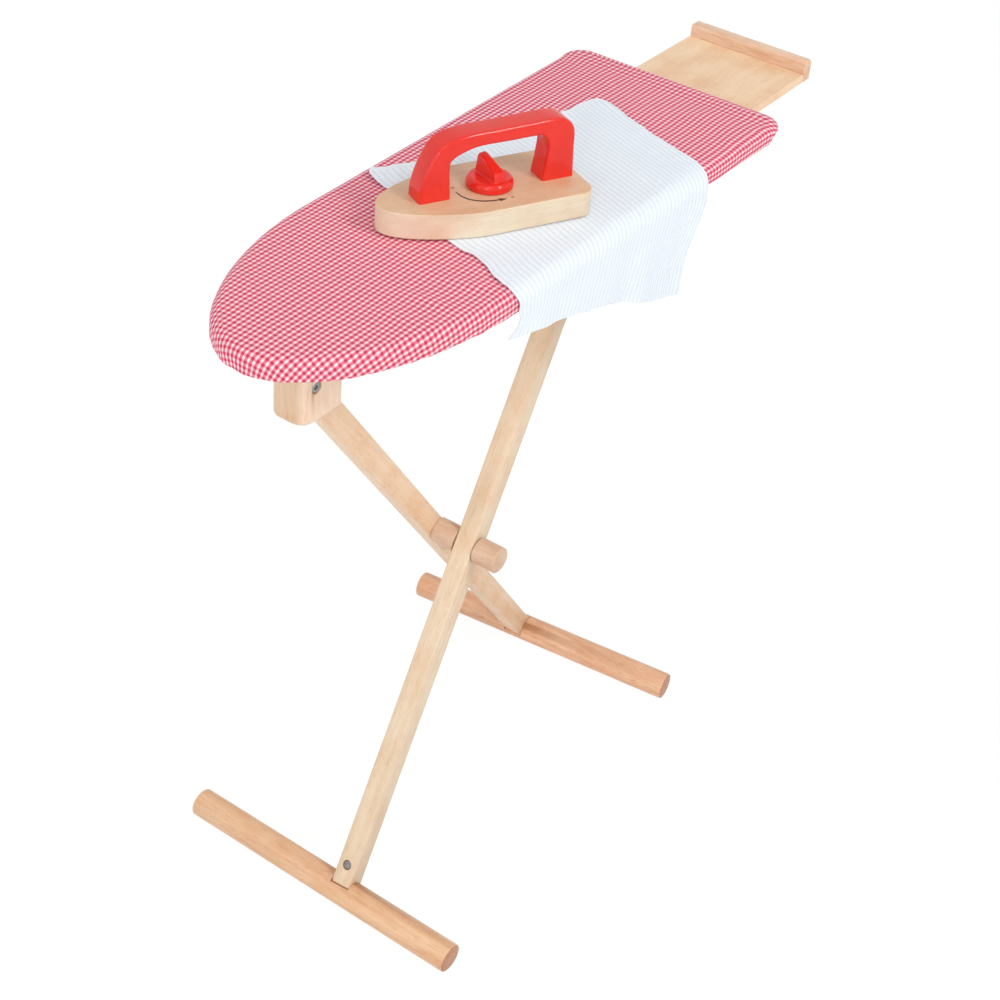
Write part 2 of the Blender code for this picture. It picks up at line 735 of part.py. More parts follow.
def make_pivot_bolt(hinged, sliding, mat, parent):
    """The bolt through both legs. Its head is sunk in the hinged leg's left face, with a hexagon socket."""
    head = pivot_planes(hinged, sliding)[0] + PIVOT_HEAD_SINK
    length = cap_start(sliding) + CAP_LENGTH - PIVOT_BOLT_END - head
    bm = bmesh.new()
    turned(bm, [(0, PIVOT_HEAD_R * HEAD_FACE_SHARE), (PIVOT_HEAD_THICK * HEAD_EASE_SHARE, PIVOT_HEAD_R),
                (PIVOT_HEAD_THICK, PIVOT_HEAD_R),
                (PIVOT_HEAD_THICK, PIVOT_BOLT_R), (length, PIVOT_BOLT_R)], on_pivot(head), X_AXIS)
    obj = add("pivot_bolt", bm, mat, Matrix.Translation(on_pivot(head)), parent)
    socket = bmesh.new()
    rod(socket, PIVOT_BOLT_R * SOCKET_SHARE, on_pivot(head - PIVOT_HEAD_THICK),
        on_pivot(head + PIVOT_HEAD_THICK / 2), SOCKET_SIDES)
    cut(obj, socket)
    return obj


def bore_legs(hinged_leg, sliding_leg, hinged, sliding):
    planes = pivot_planes(hinged, sliding)
    tool = bmesh.new()
    seat = planes[0] + PIVOT_HEAD_SINK + PIVOT_HEAD_THICK + GAP
    wide = PIVOT_HEAD_R + GAP
    deep = seat - planes[0] + LEG_THICK
    turned(tool, [(0, wide), (deep, wide), (deep, PIVOT_BOLT_R + GAP),
                  (LEG_THICK * 3, PIVOT_BOLT_R + GAP)], on_pivot(planes[0] - LEG_THICK), X_AXIS)
    rod(tool, SLEEVE_R + GAP, HINGE - X_AXIS * LEG_THICK, HINGE + X_AXIS * LEG_THICK)
    low = (hinged.inverted() @ TAIL_JOINT).z
    cut(hinged_leg, tool)
    foot = bmesh.new()
    foot_bore(foot, hinged, low, 1)
    cut_each(hinged_leg, foot)
    tool = bmesh.new()
    rod(tool, PIVOT_BOLT_R + GAP, on_pivot(planes[2] - LEG_THICK), on_pivot(planes[3] + LEG_THICK))
    cut(sliding_leg, tool)
    foot = bmesh.new()
    foot_bore(foot, sliding, (sliding.inverted() @ NOSE_JOINT).z, -1)
    cut_each(sliding_leg, foot)


def cut_each(obj, bm):
    """Cuts with crossing shapes: the Boolean reads them as one set."""
    cut(obj, bm)
    obj.modifiers[-1].use_self = True


def make_stand(woods, zinc):
    """The two crossed legs with their feet, bolts and pivot dowels."""
    hinged = leg_frame(TAIL_JOINT, HINGE, HINGE_Z)
    sliding = leg_frame(NOSE_JOINT, SLIDE_END, PIVOT_Z)
    hinge = empty("stand_hinge", Matrix.Translation(HINGE))
    pivot = empty("cross_pivot", Matrix.Translation(on_pivot(0)), hinge)
    leg_b = make_leg("hinged_leg", TAIL_JOINT, HINGE, hinged, woods["leg"], hinge)
    leg_a = make_leg("sliding_leg", NOSE_JOINT, SLIDE_END, sliding, woods["leg"], pivot)
    bore_legs(leg_b, leg_a, hinged, sliding)
    shift = TAIL_FOOT_X - TAIL_JOINT.x
    tail_centre = Vector((TAIL_FOOT_X, TAIL_FOOT_Y + shift * math.tan(TAIL_FOOT_TURN), FOOT_Z))
    nose_centre = Vector((NOSE_FOOT_X, NOSE_FOOT_Y, FOOT_Z))
    make_foot("tail_foot", TAIL_JOINT, tail_centre, TAIL_FOOT_TURN, hinged, woods["foot"], hinge)
    make_foot("nose_foot", NOSE_JOINT, nose_centre, 0, sliding, woods["foot"], pivot)
    low_b = (hinged.inverted() @ TAIL_JOINT).z
    low_a = (sliding.inverted() @ NOSE_JOINT).z
    make_foot_bolt("tail_foot_bolt", hinged, low_b, zinc, hinge)
    make_foot_bolt("nose_foot_bolt", sliding, low_a, zinc, pivot)
    make_barrel_nut("tail_barrel_nut", hinged, low_b, 1, zinc, hinge)
    make_barrel_nut("nose_barrel_nut", sliding, low_a, -1, zinc, pivot)
    make_spacer(hinged, sliding, woods["foot"], hinge)
    make_cap(sliding, woods["foot"], hinge)
    make_insert(sliding, zinc, hinge)
    make_pivot_bolt(hinged, sliding, zinc, hinge)
    return hinged


# nose block

def slot_half(hinged):
    """Half the fork's slot: the leaning leg's half thickness, its run out of square and a clearance."""
    reach = HINGE_Z - BLOCK_BOTTOM_Z + LEG_DEPTH / 2
    return LEG_THICK / 2 + lean(hinged, reach) + GAP


def make_block(hinged, mat):
    """The fork under the nose that holds the hinged leg: round front corners, open below and behind."""
    top = DECK_Z - GAP
    half = BLOCK_WIDTH / 2
    rear = BLOCK_FRONT_Y + BLOCK_DEPTH
    bm = bmesh.new()
    block(bm, (-half, BLOCK_FRONT_Y, BLOCK_BOTTOM_Z), (half, rear, top))
    front = [e for e in bm.edges if max(v.co.y for v in e.verts) < BLOCK_FRONT_Y + GAP
             and abs(e.verts[0].co.z - e.verts[1].co.z) > GAP]
    bmesh.ops.bevel(bm, geom=front, offset=BLOCK_CORNER, segments=6, profile=0.5, affect="EDGES")
    low = [e for e in bm.edges if max(v.co.z for v in e.verts) < BLOCK_BOTTOM_Z + GAP]
    bmesh.ops.bevel(bm, geom=low, offset=BLOCK_EASE, segments=3, profile=0.5, affect="EDGES")
    obj = add("nose_block", bm, mat)
    tool = bmesh.new()
    slot = slot_half(hinged)
    slot_front = HINGE_Y - END_R - lean(hinged, LEG_THICK / 2) - 2 * GAP
    block(tool, (-slot, slot_front, BLOCK_BOTTOM_Z - BLOCK_DEPTH),
          (slot, rear + BLOCK_DEPTH, HINGE_Z + END_R + PASS_GAP))
    for x, y in block_screw_places():
        rod(tool, SCREW_R + GAP, (x, y, DECK_TOP_Z - BLOCK_SCREW_LENGTH - GAP), (x, y, DECK_TOP_Z))
    cut(obj, tool)
    bores = bmesh.new()
    wide = HINGE_HEAD_R + GAP
    seat = half - HINGE_HEAD_SINK - HINGE_HEAD_THICK - GAP
    turned(bores, [(-half, wide), (half - seat, wide), (half - seat, SLEEVE_R + GAP),
                   (half + seat, SLEEVE_R + GAP), (half + seat, wide), (half * 3, wide)],
           HINGE + X_AXIS * half, -X_AXIS)
    cut(obj, bores)
    return obj


def make_hinge_bolt(mat):
    """The fork's bolt, its round head sunk in the right face, with a hexagon socket."""
    head = BLOCK_WIDTH / 2 - HINGE_HEAD_SINK
    length = head + BLOCK_WIDTH / 2 - SLEEVE_FLOOR - HINGE_HEAD_SINK - HINGE_HEAD_THICK
    bm = bmesh.new()
    turned(bm, [(0, HINGE_HEAD_R * HEAD_FACE_SHARE), (HINGE_HEAD_THICK * HEAD_EASE_SHARE, HINGE_HEAD_R),
                (HINGE_HEAD_THICK, HINGE_HEAD_R),
                (HINGE_HEAD_THICK, HINGE_BOLT_R), (length, HINGE_BOLT_R)], HINGE + X_AXIS * head, -X_AXIS)
    obj = add("nose_pivot_bolt", bm, mat, Matrix.Translation(HINGE))
    socket = bmesh.new()
    rod(socket, HINGE_BOLT_R * SOCKET_SHARE, HINGE + X_AXIS * (head - HINGE_HEAD_THICK / 2),
        HINGE + X_AXIS * (head * 2), SOCKET_SIDES)
    cut(obj, socket)
    return obj


def make_sleeve(mat):
    """The sleeve nut from the left: a sunk flange and a blind tube that the leg turns on."""
    out = BLOCK_WIDTH / 2 - HINGE_HEAD_SINK
    tube_end = BLOCK_WIDTH / 2 - HINGE_HEAD_SINK - HINGE_HEAD_THICK - GAP * 2
    bm = bmesh.new()
    start = HINGE - X_AXIS * out
    turned(bm, [(0, HINGE_HEAD_R * HEAD_FACE_SHARE), (HINGE_HEAD_THICK * HEAD_EASE_SHARE, HINGE_HEAD_R),
                (HINGE_HEAD_THICK, HINGE_HEAD_R),
                (HINGE_HEAD_THICK, SLEEVE_R), (out + tube_end, SLEEVE_R)], start, X_AXIS)
    obj = add("nose_pivot_sleeve", bm, mat, Matrix.Translation(HINGE))
    bore = bmesh.new()
    floor = HINGE_HEAD_THICK + SLEEVE_FLOOR / 2
    rod(bore, HINGE_BOLT_R + GAP, start + X_AXIS * floor, HINGE + X_AXIS * BLOCK_WIDTH)
    cut(obj, bore)
    return obj


# toy iron

def iron_half_width(s):
    if s >= IRON_NOSE_RUN:
        return IRON_WIDTH / 2
    return IRON_WIDTH / 2 * math.sqrt(max(0, 1 - (1 - s / IRON_NOSE_RUN) ** IRON_NOSE_POWER))


def iron_outline():
    side = []
    for k in range(1, 13):
        s = IRON_NOSE_RUN * (1 - math.cos(math.pi / 2 * k / 12))
        side.append((iron_half_width(s), s))
    for k in range(6):
        a = math.pi / 2 * k / 5
        side.append((IRON_WIDTH / 2 - IRON_CORNER + IRON_CORNER * math.cos(a),
                     IRON_LENGTH - IRON_CORNER + IRON_CORNER * math.sin(a)))
    return [(0, 0)] + side + [(-x, y) for x, y in reversed(side)]


def smooth_line(points, steps):
    """Points along a smooth curve through the given ones."""
    pts = [2 * Vector(points[0]) - Vector(points[1])] + [Vector(p) for p in points]
    pts.append(2 * pts[-1] - pts[-2])
    line = []
    for a, b, c, d in zip(pts, pts[1:], pts[2:], pts[3:]):
        for k in range(steps):
            t = k / steps
            line.append(0.5 * (2 * b + (c - a) * t + (2 * a - 5 * b + 4 * c - d) * t * t
                               + (3 * b - a - 3 * c + d) * t ** 3))
    line.append(pts[-2])
    return line


def make_iron_body(frame, parent, mat):
    bm = bmesh.new()
    extrude(bm, [Vector((x, y, 0)) for x, y in iron_outline()], Vector((0, 0, IRON_HEIGHT)))
    obj = add("iron_body", bm, mat, frame, parent, own=True)
    round_edges(obj, IRON_EASE, 3)
    holes = bmesh.new()
    for y in handle_screw_places():
        countersink(holes, (0, y, 0), Z_AXIS, IRON_HEIGHT * 2)
    floor = IRON_HEIGHT - dial_spindle_depth() - GAP
    rod(holes, SPINDLE_R + GAP, (0, DIAL_Y, floor), (0, DIAL_Y, IRON_HEIGHT * 2))
    cut(obj, holes, world=frame, own=True)
    return obj


def handle_screw_places():
    return [HANDLE_START + HANDLE_LENGTH * share for share in HANDLE_SCREW_SHARES]


def handle_loop():
    """The arched handle's side view, from the front foot over the grip and back along its inside."""
    size = Vector((HANDLE_LENGTH, HANDLE_HEIGHT))
    base = IRON_HEIGHT + GAP
    loop = smooth_line(HANDLE_OUTER, 3) + smooth_line(HANDLE_INNER, 3)
    return [Vector((-HANDLE_WIDTH / 2, HANDLE_START + p.x * size.x, base + p.y * size.y)) for p in loop]


def make_handle(frame, parent, mat):
    bm = bmesh.new()
    extrude(bm, handle_loop(), Vector((HANDLE_WIDTH, 0, 0)))
    base = IRON_HEIGHT + GAP * 2
    rims = [e for e in bm.edges if abs(e.verts[0].co.x - e.verts[1].co.x) < GAP
            and max(v.co.z for v in e.verts) > base]
    bmesh.ops.bevel(bm, geom=rims, offset=HANDLE_ROUND, segments=3, profile=0.5, affect="EDGES",
                    clamp_overlap=True)
    obj = add("iron_handle", bm, mat, frame, parent, own=True)
    holes = bmesh.new()
    for y in handle_screw_places():
        rod(holes, SCREW_R + GAP, (0, y, 0), (0, y, IRON_HEIGHT + HANDLE_SCREW_BITE + GAP), SCREW_SIDES)
    cut(obj, holes, world=frame, own=True)
    return obj


def make_handle_screws(frame, parent, mat):
    for number, y in enumerate(handle_screw_places(), 1):
        bm = bmesh.new()
        screw(bm, (0, y, 0), Z_AXIS, IRON_HEIGHT + HANDLE_SCREW_BITE)
        add(f"handle_screw_{number}", bm, mat, frame, parent, own=True)


def dial_spindle_depth():
    return IRON_HEIGHT * SPINDLE_DEPTH_SHARE


def make_dial(frame, parent, mat):
    """The turning knob: a disc with a rounded rim and a raised pointer that slopes from its peak."""
    bm = bmesh.new()
    rod(bm, DIAL_R, (0, 0, GAP), (0, 0, DIAL_THICK + GAP), ROUND_SIDES)
    rim = [e for e in bm.edges if min(v.co.z for v in e.verts) > DIAL_THICK / 2]
    bmesh.ops.bevel(bm, geom=rim, offset=DIAL_ROUND, segments=4, profile=0.5, affect="EDGES")
    obj = add("iron_dial", bm, mat, frame, parent, own=True)
    fin = bmesh.new()
    points = [Vector((u * DIAL_R, -FIN_THICK / 2, v * FIN_HEIGHT + GAP)) for u, v in FIN_PROFILE]
    extrude(fin, points, Vector((0, FIN_THICK, 0)))
    for v in fin.verts:
        share = min(1, max(0, v.co.z / FIN_HEIGHT))
        v.co.y *= 1 - (1 - FIN_TOP_SHARE) * share
    edges = [e for e in fin.edges if max(v.co.z for v in e.verts) > FIN_HEIGHT / 4]
    bmesh.ops.bevel(fin, geom=edges, offset=FIN_ROUND, segments=2, profile=0.5, affect="EDGES",
                    clamp_overlap=True)
    cut(obj, fin, "UNION", world=frame, own=True)
    bore = bmesh.new()
    rod(bore, SPINDLE_R + GAP, (0, 0, -DIAL_THICK), (0, 0, SPINDLE_BITE + GAP))
    cut(obj, bore, world=frame, own=True)
    return obj


def make_spindle(frame, parent, mat):
    """The dial's pin, set in the iron's body."""
    bm = bmesh.new()
    rod(bm, SPINDLE_R, (0, 0, -dial_spindle_depth()), (0, 0, SPINDLE_BITE))
    return add("dial_spindle", bm, mat, frame, parent, own=True)


def make_iron(mats):
    frame = Matrix.Translation((IRON_TIP_X, NOSE_Y + IRON_BACK, IRON_Z)) @ Matrix.Rotation(IRON_TURN, 4, "Z")
    iron = empty("iron_place", frame)
    make_iron_body(frame, iron, mats["iron wood"])
    make_handle(frame, iron, mats["red"])
    make_handle_screws(frame, iron, mats["zinc"])
    dial_frame = frame @ Matrix.Translation((0, DIAL_Y, IRON_HEIGHT)) @ Matrix.Rotation(DIAL_TURN, 4, "Z")
    dial = empty("dial_axis", dial_frame, iron)
    make_dial(dial_frame, dial, mats["dial red"])
    make_spindle(dial_frame, iron, mats["zinc"])


# pressing cloth

def edge_inset(x, y):
    """The board inset of the ring through (x, y)."""
    inset = TAIL_HALF_WIDTH - abs(x)
    for _ in range(12):
        y_out = BOARD_MID_Y + (y - BOARD_MID_Y) / (1 - inset / HALF_LENGTH)
        inset = TAIL_HALF_WIDTH * (1 - abs(x) / board_half_width(y_out))
        inset = min(max(inset, 0), TAIL_HALF_WIDTH * 0.99)
    return inset


def cloth_point(p, y):
    """The cloth's lower face at flat place (p, y): on the board, round its edge, then hanging in folds."""
    edge = board_half_width(y)
    bend = edge - COVER_EDGE_R
    radius = COVER_EDGE_R + LINING
    if p <= bend:
        return Vector((p, y, COVER_TOP_Z + LINING - crown_drop(edge_inset(p, y))))
    arc = p - bend
    if arc < radius * math.pi / 2:
        a = arc / radius
        return Vector((bend + radius * math.sin(a), y, EDGE_TOP_Z - COVER_EDGE_R + radius * math.cos(a)))
    fall = arc - radius * math.pi / 2
    share = fall / CLOTH_FALL
    wave = CLOTH_WAVE * (1 + math.sin(2 * math.pi * y / CLOTH_WAVE_LENGTH)) * share
    out = CLOTH_FLARE * share * share + wave
    return Vector((edge + LINING + out, y, EDGE_TOP_Z - COVER_EDGE_R - fall))


def cloth_row(v):
    """One row across the cloth, with its columns gathered at the board's edge."""
    long_way = Vector((math.cos(CLOTH_LONG_TURN), math.sin(CLOTH_LONG_TURN)))
    start = Vector((CLOTH_X, NOSE_Y + CLOTH_BACK)) + v * CLOTH_LONG * long_way
    turn = CLOTH_NEAR_TURN + (CLOTH_FAR_TURN - CLOTH_NEAR_TURN) * v
    way = Vector((math.cos(turn), math.sin(turn)))
    across = CLOTH_ACROSS_NEAR + (CLOTH_ACROSS_FAR - CLOTH_ACROSS_NEAR) * v
    to_bend = across / 2
    for _ in range(20):
        y = start.y + way.y * to_bend
        to_bend = (board_half_width(y) - COVER_EDGE_R - start.x) / way.x
    bend_long = (COVER_EDGE_R + LINING) * math.pi / 2 / way.x
    marks = [to_bend * k / CLOTH_FLAT_CELLS for k in range(CLOTH_FLAT_CELLS)]
    marks += [to_bend + bend_long * k / CLOTH_BEND_CELLS for k in range(CLOTH_BEND_CELLS)]
    left = across - to_bend - bend_long
    marks += [to_bend + bend_long + left * k / CLOTH_HANG_CELLS for k in range(CLOTH_HANG_CELLS + 1)]
    hung = [u - (1 - CLOTH_HANG_SLANT) * max(0, u - to_bend) for u in marks]
    return [cloth_point(start.x + way.x * u, start.y + way.y * h) for u, h in zip(marks, hung)]


def make_cloth(mat):
    bm = bmesh.new()
    rows = [[bm.verts.new(p) for p in cloth_row(k / CLOTH_ROWS)] for k in range(CLOTH_ROWS + 1)]
    for near, far in zip(rows, rows[1:]):
        for k in range(len(near) - 1):
            bm.faces.new((near[k], near[k + 1], far[k + 1], far[k]))
    obj = add("press_cloth", bm, mat)
    wall = obj.modifiers.new("cloth thickness", "SOLIDIFY")
    wall.thickness = CLOTH_THICK
    wall.offset = 1
    wall.use_even_offset = True
    return obj


# all

def main():
    clear_scene()
    woods = {
        "leg": material("pale birch leg", (0.83, 0.60, 0.40), 0.55),
        "foot": material("beech dowel", (0.75, 0.44, 0.26), 0.55),
    }
    ply = material("birch plywood", (0.81, 0.57, 0.33), 0.55)
    bar_wood = material("beech bar", (0.79, 0.50, 0.32), 0.55)
    zinc = material("zinc plated steel", (0.55, 0.56, 0.57), 0.35, 1.0)
    make_cover(material("red gingham cotton", (0.82, 0.22, 0.32), 0.9))
    make_pad(material("white foam", (0.90, 0.89, 0.86), 0.95))
    make_deck(ply)
    make_tray(ply)
    make_end_bar(bar_wood)
    make_tray_screws(zinc)
    make_runners(woods["leg"])
    make_stop(woods["leg"])
    hinged = make_stand(woods, zinc)
    make_block(hinged, bar_wood)
    make_block_screws(zinc)
    make_hinge_bolt(zinc)
    make_sleeve(zinc)
    make_iron({
        "iron wood": material("beech iron body", (0.80, 0.56, 0.36), 0.5),
        "red": material("red handle lacquer", (0.87, 0.06, 0.04), 0.3),
        "dial red": material("red dial lacquer", (0.84, 0.035, 0.03), 0.28),
        "zinc": zinc,
    })
    make_cloth(material("striped white cotton", (0.80, 0.86, 0.92), 0.9))


main()
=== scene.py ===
import math

import bmesh
import bpy
from mathutils import Euler, Matrix, Quaternion, Vector, noise


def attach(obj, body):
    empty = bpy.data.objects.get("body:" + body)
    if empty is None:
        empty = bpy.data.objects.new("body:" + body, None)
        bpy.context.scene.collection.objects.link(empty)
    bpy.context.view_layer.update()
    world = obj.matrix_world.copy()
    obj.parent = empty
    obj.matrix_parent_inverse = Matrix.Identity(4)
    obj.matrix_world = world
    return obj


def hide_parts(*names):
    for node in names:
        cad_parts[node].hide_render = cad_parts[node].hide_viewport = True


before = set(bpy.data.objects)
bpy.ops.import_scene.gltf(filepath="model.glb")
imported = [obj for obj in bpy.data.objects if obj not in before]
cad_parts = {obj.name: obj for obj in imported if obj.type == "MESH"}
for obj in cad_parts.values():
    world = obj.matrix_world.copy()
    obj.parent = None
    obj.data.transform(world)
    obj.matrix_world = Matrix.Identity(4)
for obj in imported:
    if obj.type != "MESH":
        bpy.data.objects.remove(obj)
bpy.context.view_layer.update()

MM = 0.001

# the board's outline: blunt nose, straight widening sides, round tail corners
NOSE_Y, TAIL_Y = -0.3110, 0.1842
NOSE_RUN, NOSE_POWER = 0.1660, 1.84
WAIST, TAIL = 0.0870, 0.0930
CORNER = 0.0140
COVER_LOW, COVER_HIGH = 0.5128, 0.5294
# the cover's upper and lower rounding, its crown and its turned edge underneath
EDGE_R, FOOT_R, CROWN, HEM = 0.0075, 0.0017, 0.0012, 0.0200
SIDE_FOOT = COVER_LOW + 0.0020
# how much fuller it is at the tail, from which place on, how high up and how far in
TAIL_FULL, FULL_FROM, FULL_RUN, FULL_HIGH, FULL_IN = 0.0090, 0.1650, 0.0190, 0.0110, 0.0200
# how far it is drawn in at the nose's left, around which place and how widely
NOSE_DRAWN, DRAWN_X, DRAWN_Y, DRAWN_WIDE, DRAWN_LONG = 0.0005, -0.0620, -0.2620, 0.0300, 0.0400
# how far the foam lies under the cover's face, and its own low edge
FOAM_DEEP, FOAM_LOW = 0.0018, 0.5222
COTTON_THICK = 0.0007
HALF_LONG, MID_Y = (TAIL_Y - NOSE_Y) / 2, (TAIL_Y + NOSE_Y) / 2

# the iron: where its tip stands and how it is turned
IRON_TURN = math.radians(-26.5)
IRON = Matrix.Translation((-0.0244, -0.1493, 0.5312)) @ Matrix.Rotation(IRON_TURN, 4, "Z")
IRON_LONG, IRON_WIDE, IRON_HIGH, IRON_RUN, IRON_ROUND = 0.1455, 0.0660, 0.0178, 0.0660, 0.0100
IRON_EASED = 0.0023
HANDLE_FROM, HANDLE_LONG, HANDLE_HIGH, HANDLE_WIDE = 0.0260, 0.1150, 0.0445, 0.0180
HANDLE_EASED = 0.0062
# the dial's disc and fin, each with its rounding, and the lacquer that fills the corner between them
DIAL_Y, DIAL_R, DIAL_THICK, DIAL_FLOAT, DIAL_EASED = 0.0818, 0.0160, 0.0066, 0.0036, 0.0036
FIN_WIDE, FIN_HIGH, FIN_FOOT, FIN_EASED = 0.0112, 0.0200, 0.0003, 0.0016
LACQUER_GRAIN = 0.00035
DIAL = IRON @ Matrix.Translation((0, DIAL_Y, IRON_HIGH)) @ Matrix.Rotation(math.radians(13), 4, "Z")

# the legs' own axes: Z along each leg, X across its thickness
NOSE_FOOT, TAIL_FOOT = Vector((0.03656, -0.2404, 0.01144)), Vector((-0.03656, 0.1003, 0.01144))
HINGE, SLIDE_END = Vector((0, -0.25455, 0.4796)), Vector((0, 0.09959, 0.4953))

# the photograph's camera: its place, its three angles and its lens in mm
CAMERA_PLACE = (0.62874, -0.99963, 1.14617)
CAMERA_ROUND, CAMERA_UP, CAMERA_ROLL = (math.radians(a) for a in (32.392, 37.724, 5.192))
CAMERA_LENS, CAMERA_FILM = 67.775, 36
# the lamps: name, place, width and height, watts and roll in degrees
LAMP_AIM = Vector((0, -0.05, 0.5))
LAMPS = (("key strip", (1.64, 0.08, 1.88), (0.32, 1.3), 18, -24),
         ("front strip", (0.80, -1.90, 1.15), (0.26, 1.2), 8, 0),
         ("upper front light", (0.82, -1.18, 2.03), (0.6, 0.6), 5, 0),
         ("fill softbox", (-1.2, -2.1, 1.2), (1.6, 1.6), 10, 0))
# the light that comes from all round, and what the camera and the reflections see there
ROUND_LIGHT, SEEN_LIGHT, SEEN_FLOOR = 0.55, 1.0, 1.03


# finishes

# in mm: the wood fibres' width and length, and each kind of fleck's width, length, first and last noise level
# and colour
FIBRE_WIDE, FIBRE_LONG = 0.6, 14.0
FLECKS = ((0.8, 9.0, 0.56, 0.80, "#D2A37C"), (0.4, 2.5, 0.66, 0.80, "#AE7C58"))
# lumps of noise to a metre: patches in the wood, clouds and orange peel in the lacquer, spangles on the zinc,
# cells in the foam and specks in the ink
PATCHES, CLOUDS, PEEL, SPANGLES, CELLS, SPECKS = 40.0, 60.0, 650.0, 900.0, 900.0, 1500.0
# in mm: the gingham's two band periods and thread spacing, the cotton's stripes, threads and plain left hem
WARP_PERIOD, WEFT_PERIOD, GINGHAM_THREAD = 3.95, 4.02, 0.42
STRIPE_PERIOD, COTTON_THREAD, PLAIN_HEM = 4.35, 0.5, (3.2, 4.2)


def paint(hex_code):
    """An sRGB hex colour as linear values."""
    parts = [int(hex_code[k:k + 2], 16) / 255 for k in (1, 3, 5)]
    return tuple(c / 12.92 if c <= 0.04045 else ((c + 0.055) / 1.055) ** 2.4 for c in parts) + (1.0,)


def step(tree, kind, settings=None, **inputs):
    """Adds one node with its settings. An input is a value or the socket that feeds it, and _0, _1 and so on
    give its number."""
    made = tree.nodes.new(kind)
    for key, value in (settings or {}).items():
        setattr(made, key, value)
    for key, value in inputs.items():
        socket = made.inputs[int(key[1:])] if key[0] == "_" else made.inputs[key.replace("_", " ")]
        if isinstance(value, bpy.types.NodeSocket):
            tree.links.new(value, socket)
        else:
            socket.default_value = value
    return made


def finish(name, roughness, metallic=0.0, coat=0.0, sheen=0.0):
    """An empty finish with its plain values on the shader: returns the material, its tree and its shader."""
    made = bpy.data.materials.new(name)
    made.use_nodes = True
    shader = made.node_tree.nodes["Principled BSDF"]
    shader.inputs["Roughness"].default_value = roughness
    shader.inputs["Metallic"].default_value = metallic
    shader.inputs["Coat Weight"].default_value = coat
    shader.inputs["Coat Roughness"].default_value = 0.12
    shader.inputs["Sheen Weight"].default_value = sheen
    return made, made.node_tree, shader


def ramp(tree, factor, *stops):
    """A colour ramp from (place, hex) stops."""
    made = step(tree, "ShaderNodeValToRGB", Fac=factor)
    points = made.color_ramp.elements
    while len(points) < len(stops):
        points.new(0.5)
    for point, (place, hex_code) in zip(points, stops):
        point.position = place
        point.color = paint(hex_code)
    return made


def grain(tree, place, middle, turn, wide, long, **look):
    """Noise drawn out along the grain, in lumps as wide and as long as given in mm."""
    lie = step(tree, "ShaderNodeMapping", {"vector_type": "TEXTURE"}, Vector=place, Location=middle,
               Rotation=turn, Scale=(wide * MM, wide * MM, long * MM))
    return step(tree, "ShaderNodeTexNoise", Vector=lie.outputs[0], Scale=1.0, **look).outputs["Fac"]


def wash(tree, strength, colour, hex_code):
    """A colour darkened by another one, as far as the strength says."""
    washed = step(tree, "ShaderNodeMix", {"data_type": "RGBA", "blend_type": "MULTIPLY"}, _0=strength,
                  _6=colour, _7=paint(hex_code))
    return washed.outputs[2]


def wood(name, dark, light, turn, middle, ring, along, fleck=0.0, plies=0.0, tints=()):
    """Planed and clear-varnished wood, with a half-matt surface that shows its grain. ring and along are the
    figure's width and length in mm, turn lays Z along the grain, fleck is the strength of the short dark rays
    of beech, plies the thickness in mm of a plywood's layers, and tints are (way, colour) of the faces turned
    that way, which are darkened: on the dowels by their real end grain, on the iron's top and the block's
    fronts as painted shade."""
    gloss = 0.46
    made, tree, shader = finish(name, gloss, coat=0.12)
    place = step(tree, "ShaderNodeTexCoord").outputs["Object"]
    figure = grain(tree, place, middle, turn, ring, along, Detail=3.0, Roughness=0.5, Distortion=0.35)
    fibre = grain(tree, place, middle, turn, FIBRE_WIDE, FIBRE_LONG, Detail=4.0, Roughness=0.6)
    both = step(tree, "ShaderNodeMix", {"data_type": "FLOAT"}, Factor=0.30, _2=figure, _3=fibre)
    tone = ramp(tree, both.outputs[0], (0.30, dark), (0.66, light))
    # pale and warm patches, as heart and sap wood make them
    patch = step(tree, "ShaderNodeTexNoise", Vector=place, Scale=PATCHES, Detail=2.0)
    warm = step(tree, "ShaderNodeMapRange", Value=patch.outputs["Fac"], _1=0.42, _2=0.70, _3=0.0, _4=0.45)
    colour = wash(tree, warm.outputs[0], tone.outputs["Color"], "#F3DCC6")
    for wide, long, low, high, deep in FLECKS if fleck else ():
        ray = grain(tree, place, middle, turn, wide, long, Detail=2.0)
        cut = step(tree, "ShaderNodeMapRange", Value=ray, _1=low, _2=high, _3=0.0, _4=fleck)
        colour = wash(tree, cut.outputs[0], colour, deep)
    # faces turned a tint's way are darkened: real end grain on the dowels, painted shade on the iron's top
    # and the block's fronts
    for facing_way, tint in tints:
        normal = step(tree, "ShaderNodeTexCoord").outputs["Normal"]
        facing = step(tree, "ShaderNodeVectorMath", {"operation": "DOT_PRODUCT"}, _0=normal, _1=facing_way)
        size = step(tree, "ShaderNodeMath", {"operation": "ABSOLUTE"}, _0=facing.outputs["Value"])
        end_grain_and_painted_shade = step(tree, "ShaderNodeMapRange", Value=size.outputs[0], _1=0.70, _2=0.95)
        colour = wash(tree, end_grain_and_painted_shade.outputs[0], colour, tint)
    if plies:
        colour = ply_edge(tree, place, colour, plies)
    tree.links.new(colour, shader.inputs["Base Color"])
    bump = step(tree, "ShaderNodeBump", Height=fibre, Strength=0.10, Distance=0.08 * MM)
    tree.links.new(bump.outputs[0], shader.inputs["Normal"])
    rough = step(tree, "ShaderNodeMapRange", Value=figure, _3=gloss - 0.06, _4=gloss + 0.08)
    tree.links.new(rough.outputs[0], shader.inputs["Roughness"])
    return made


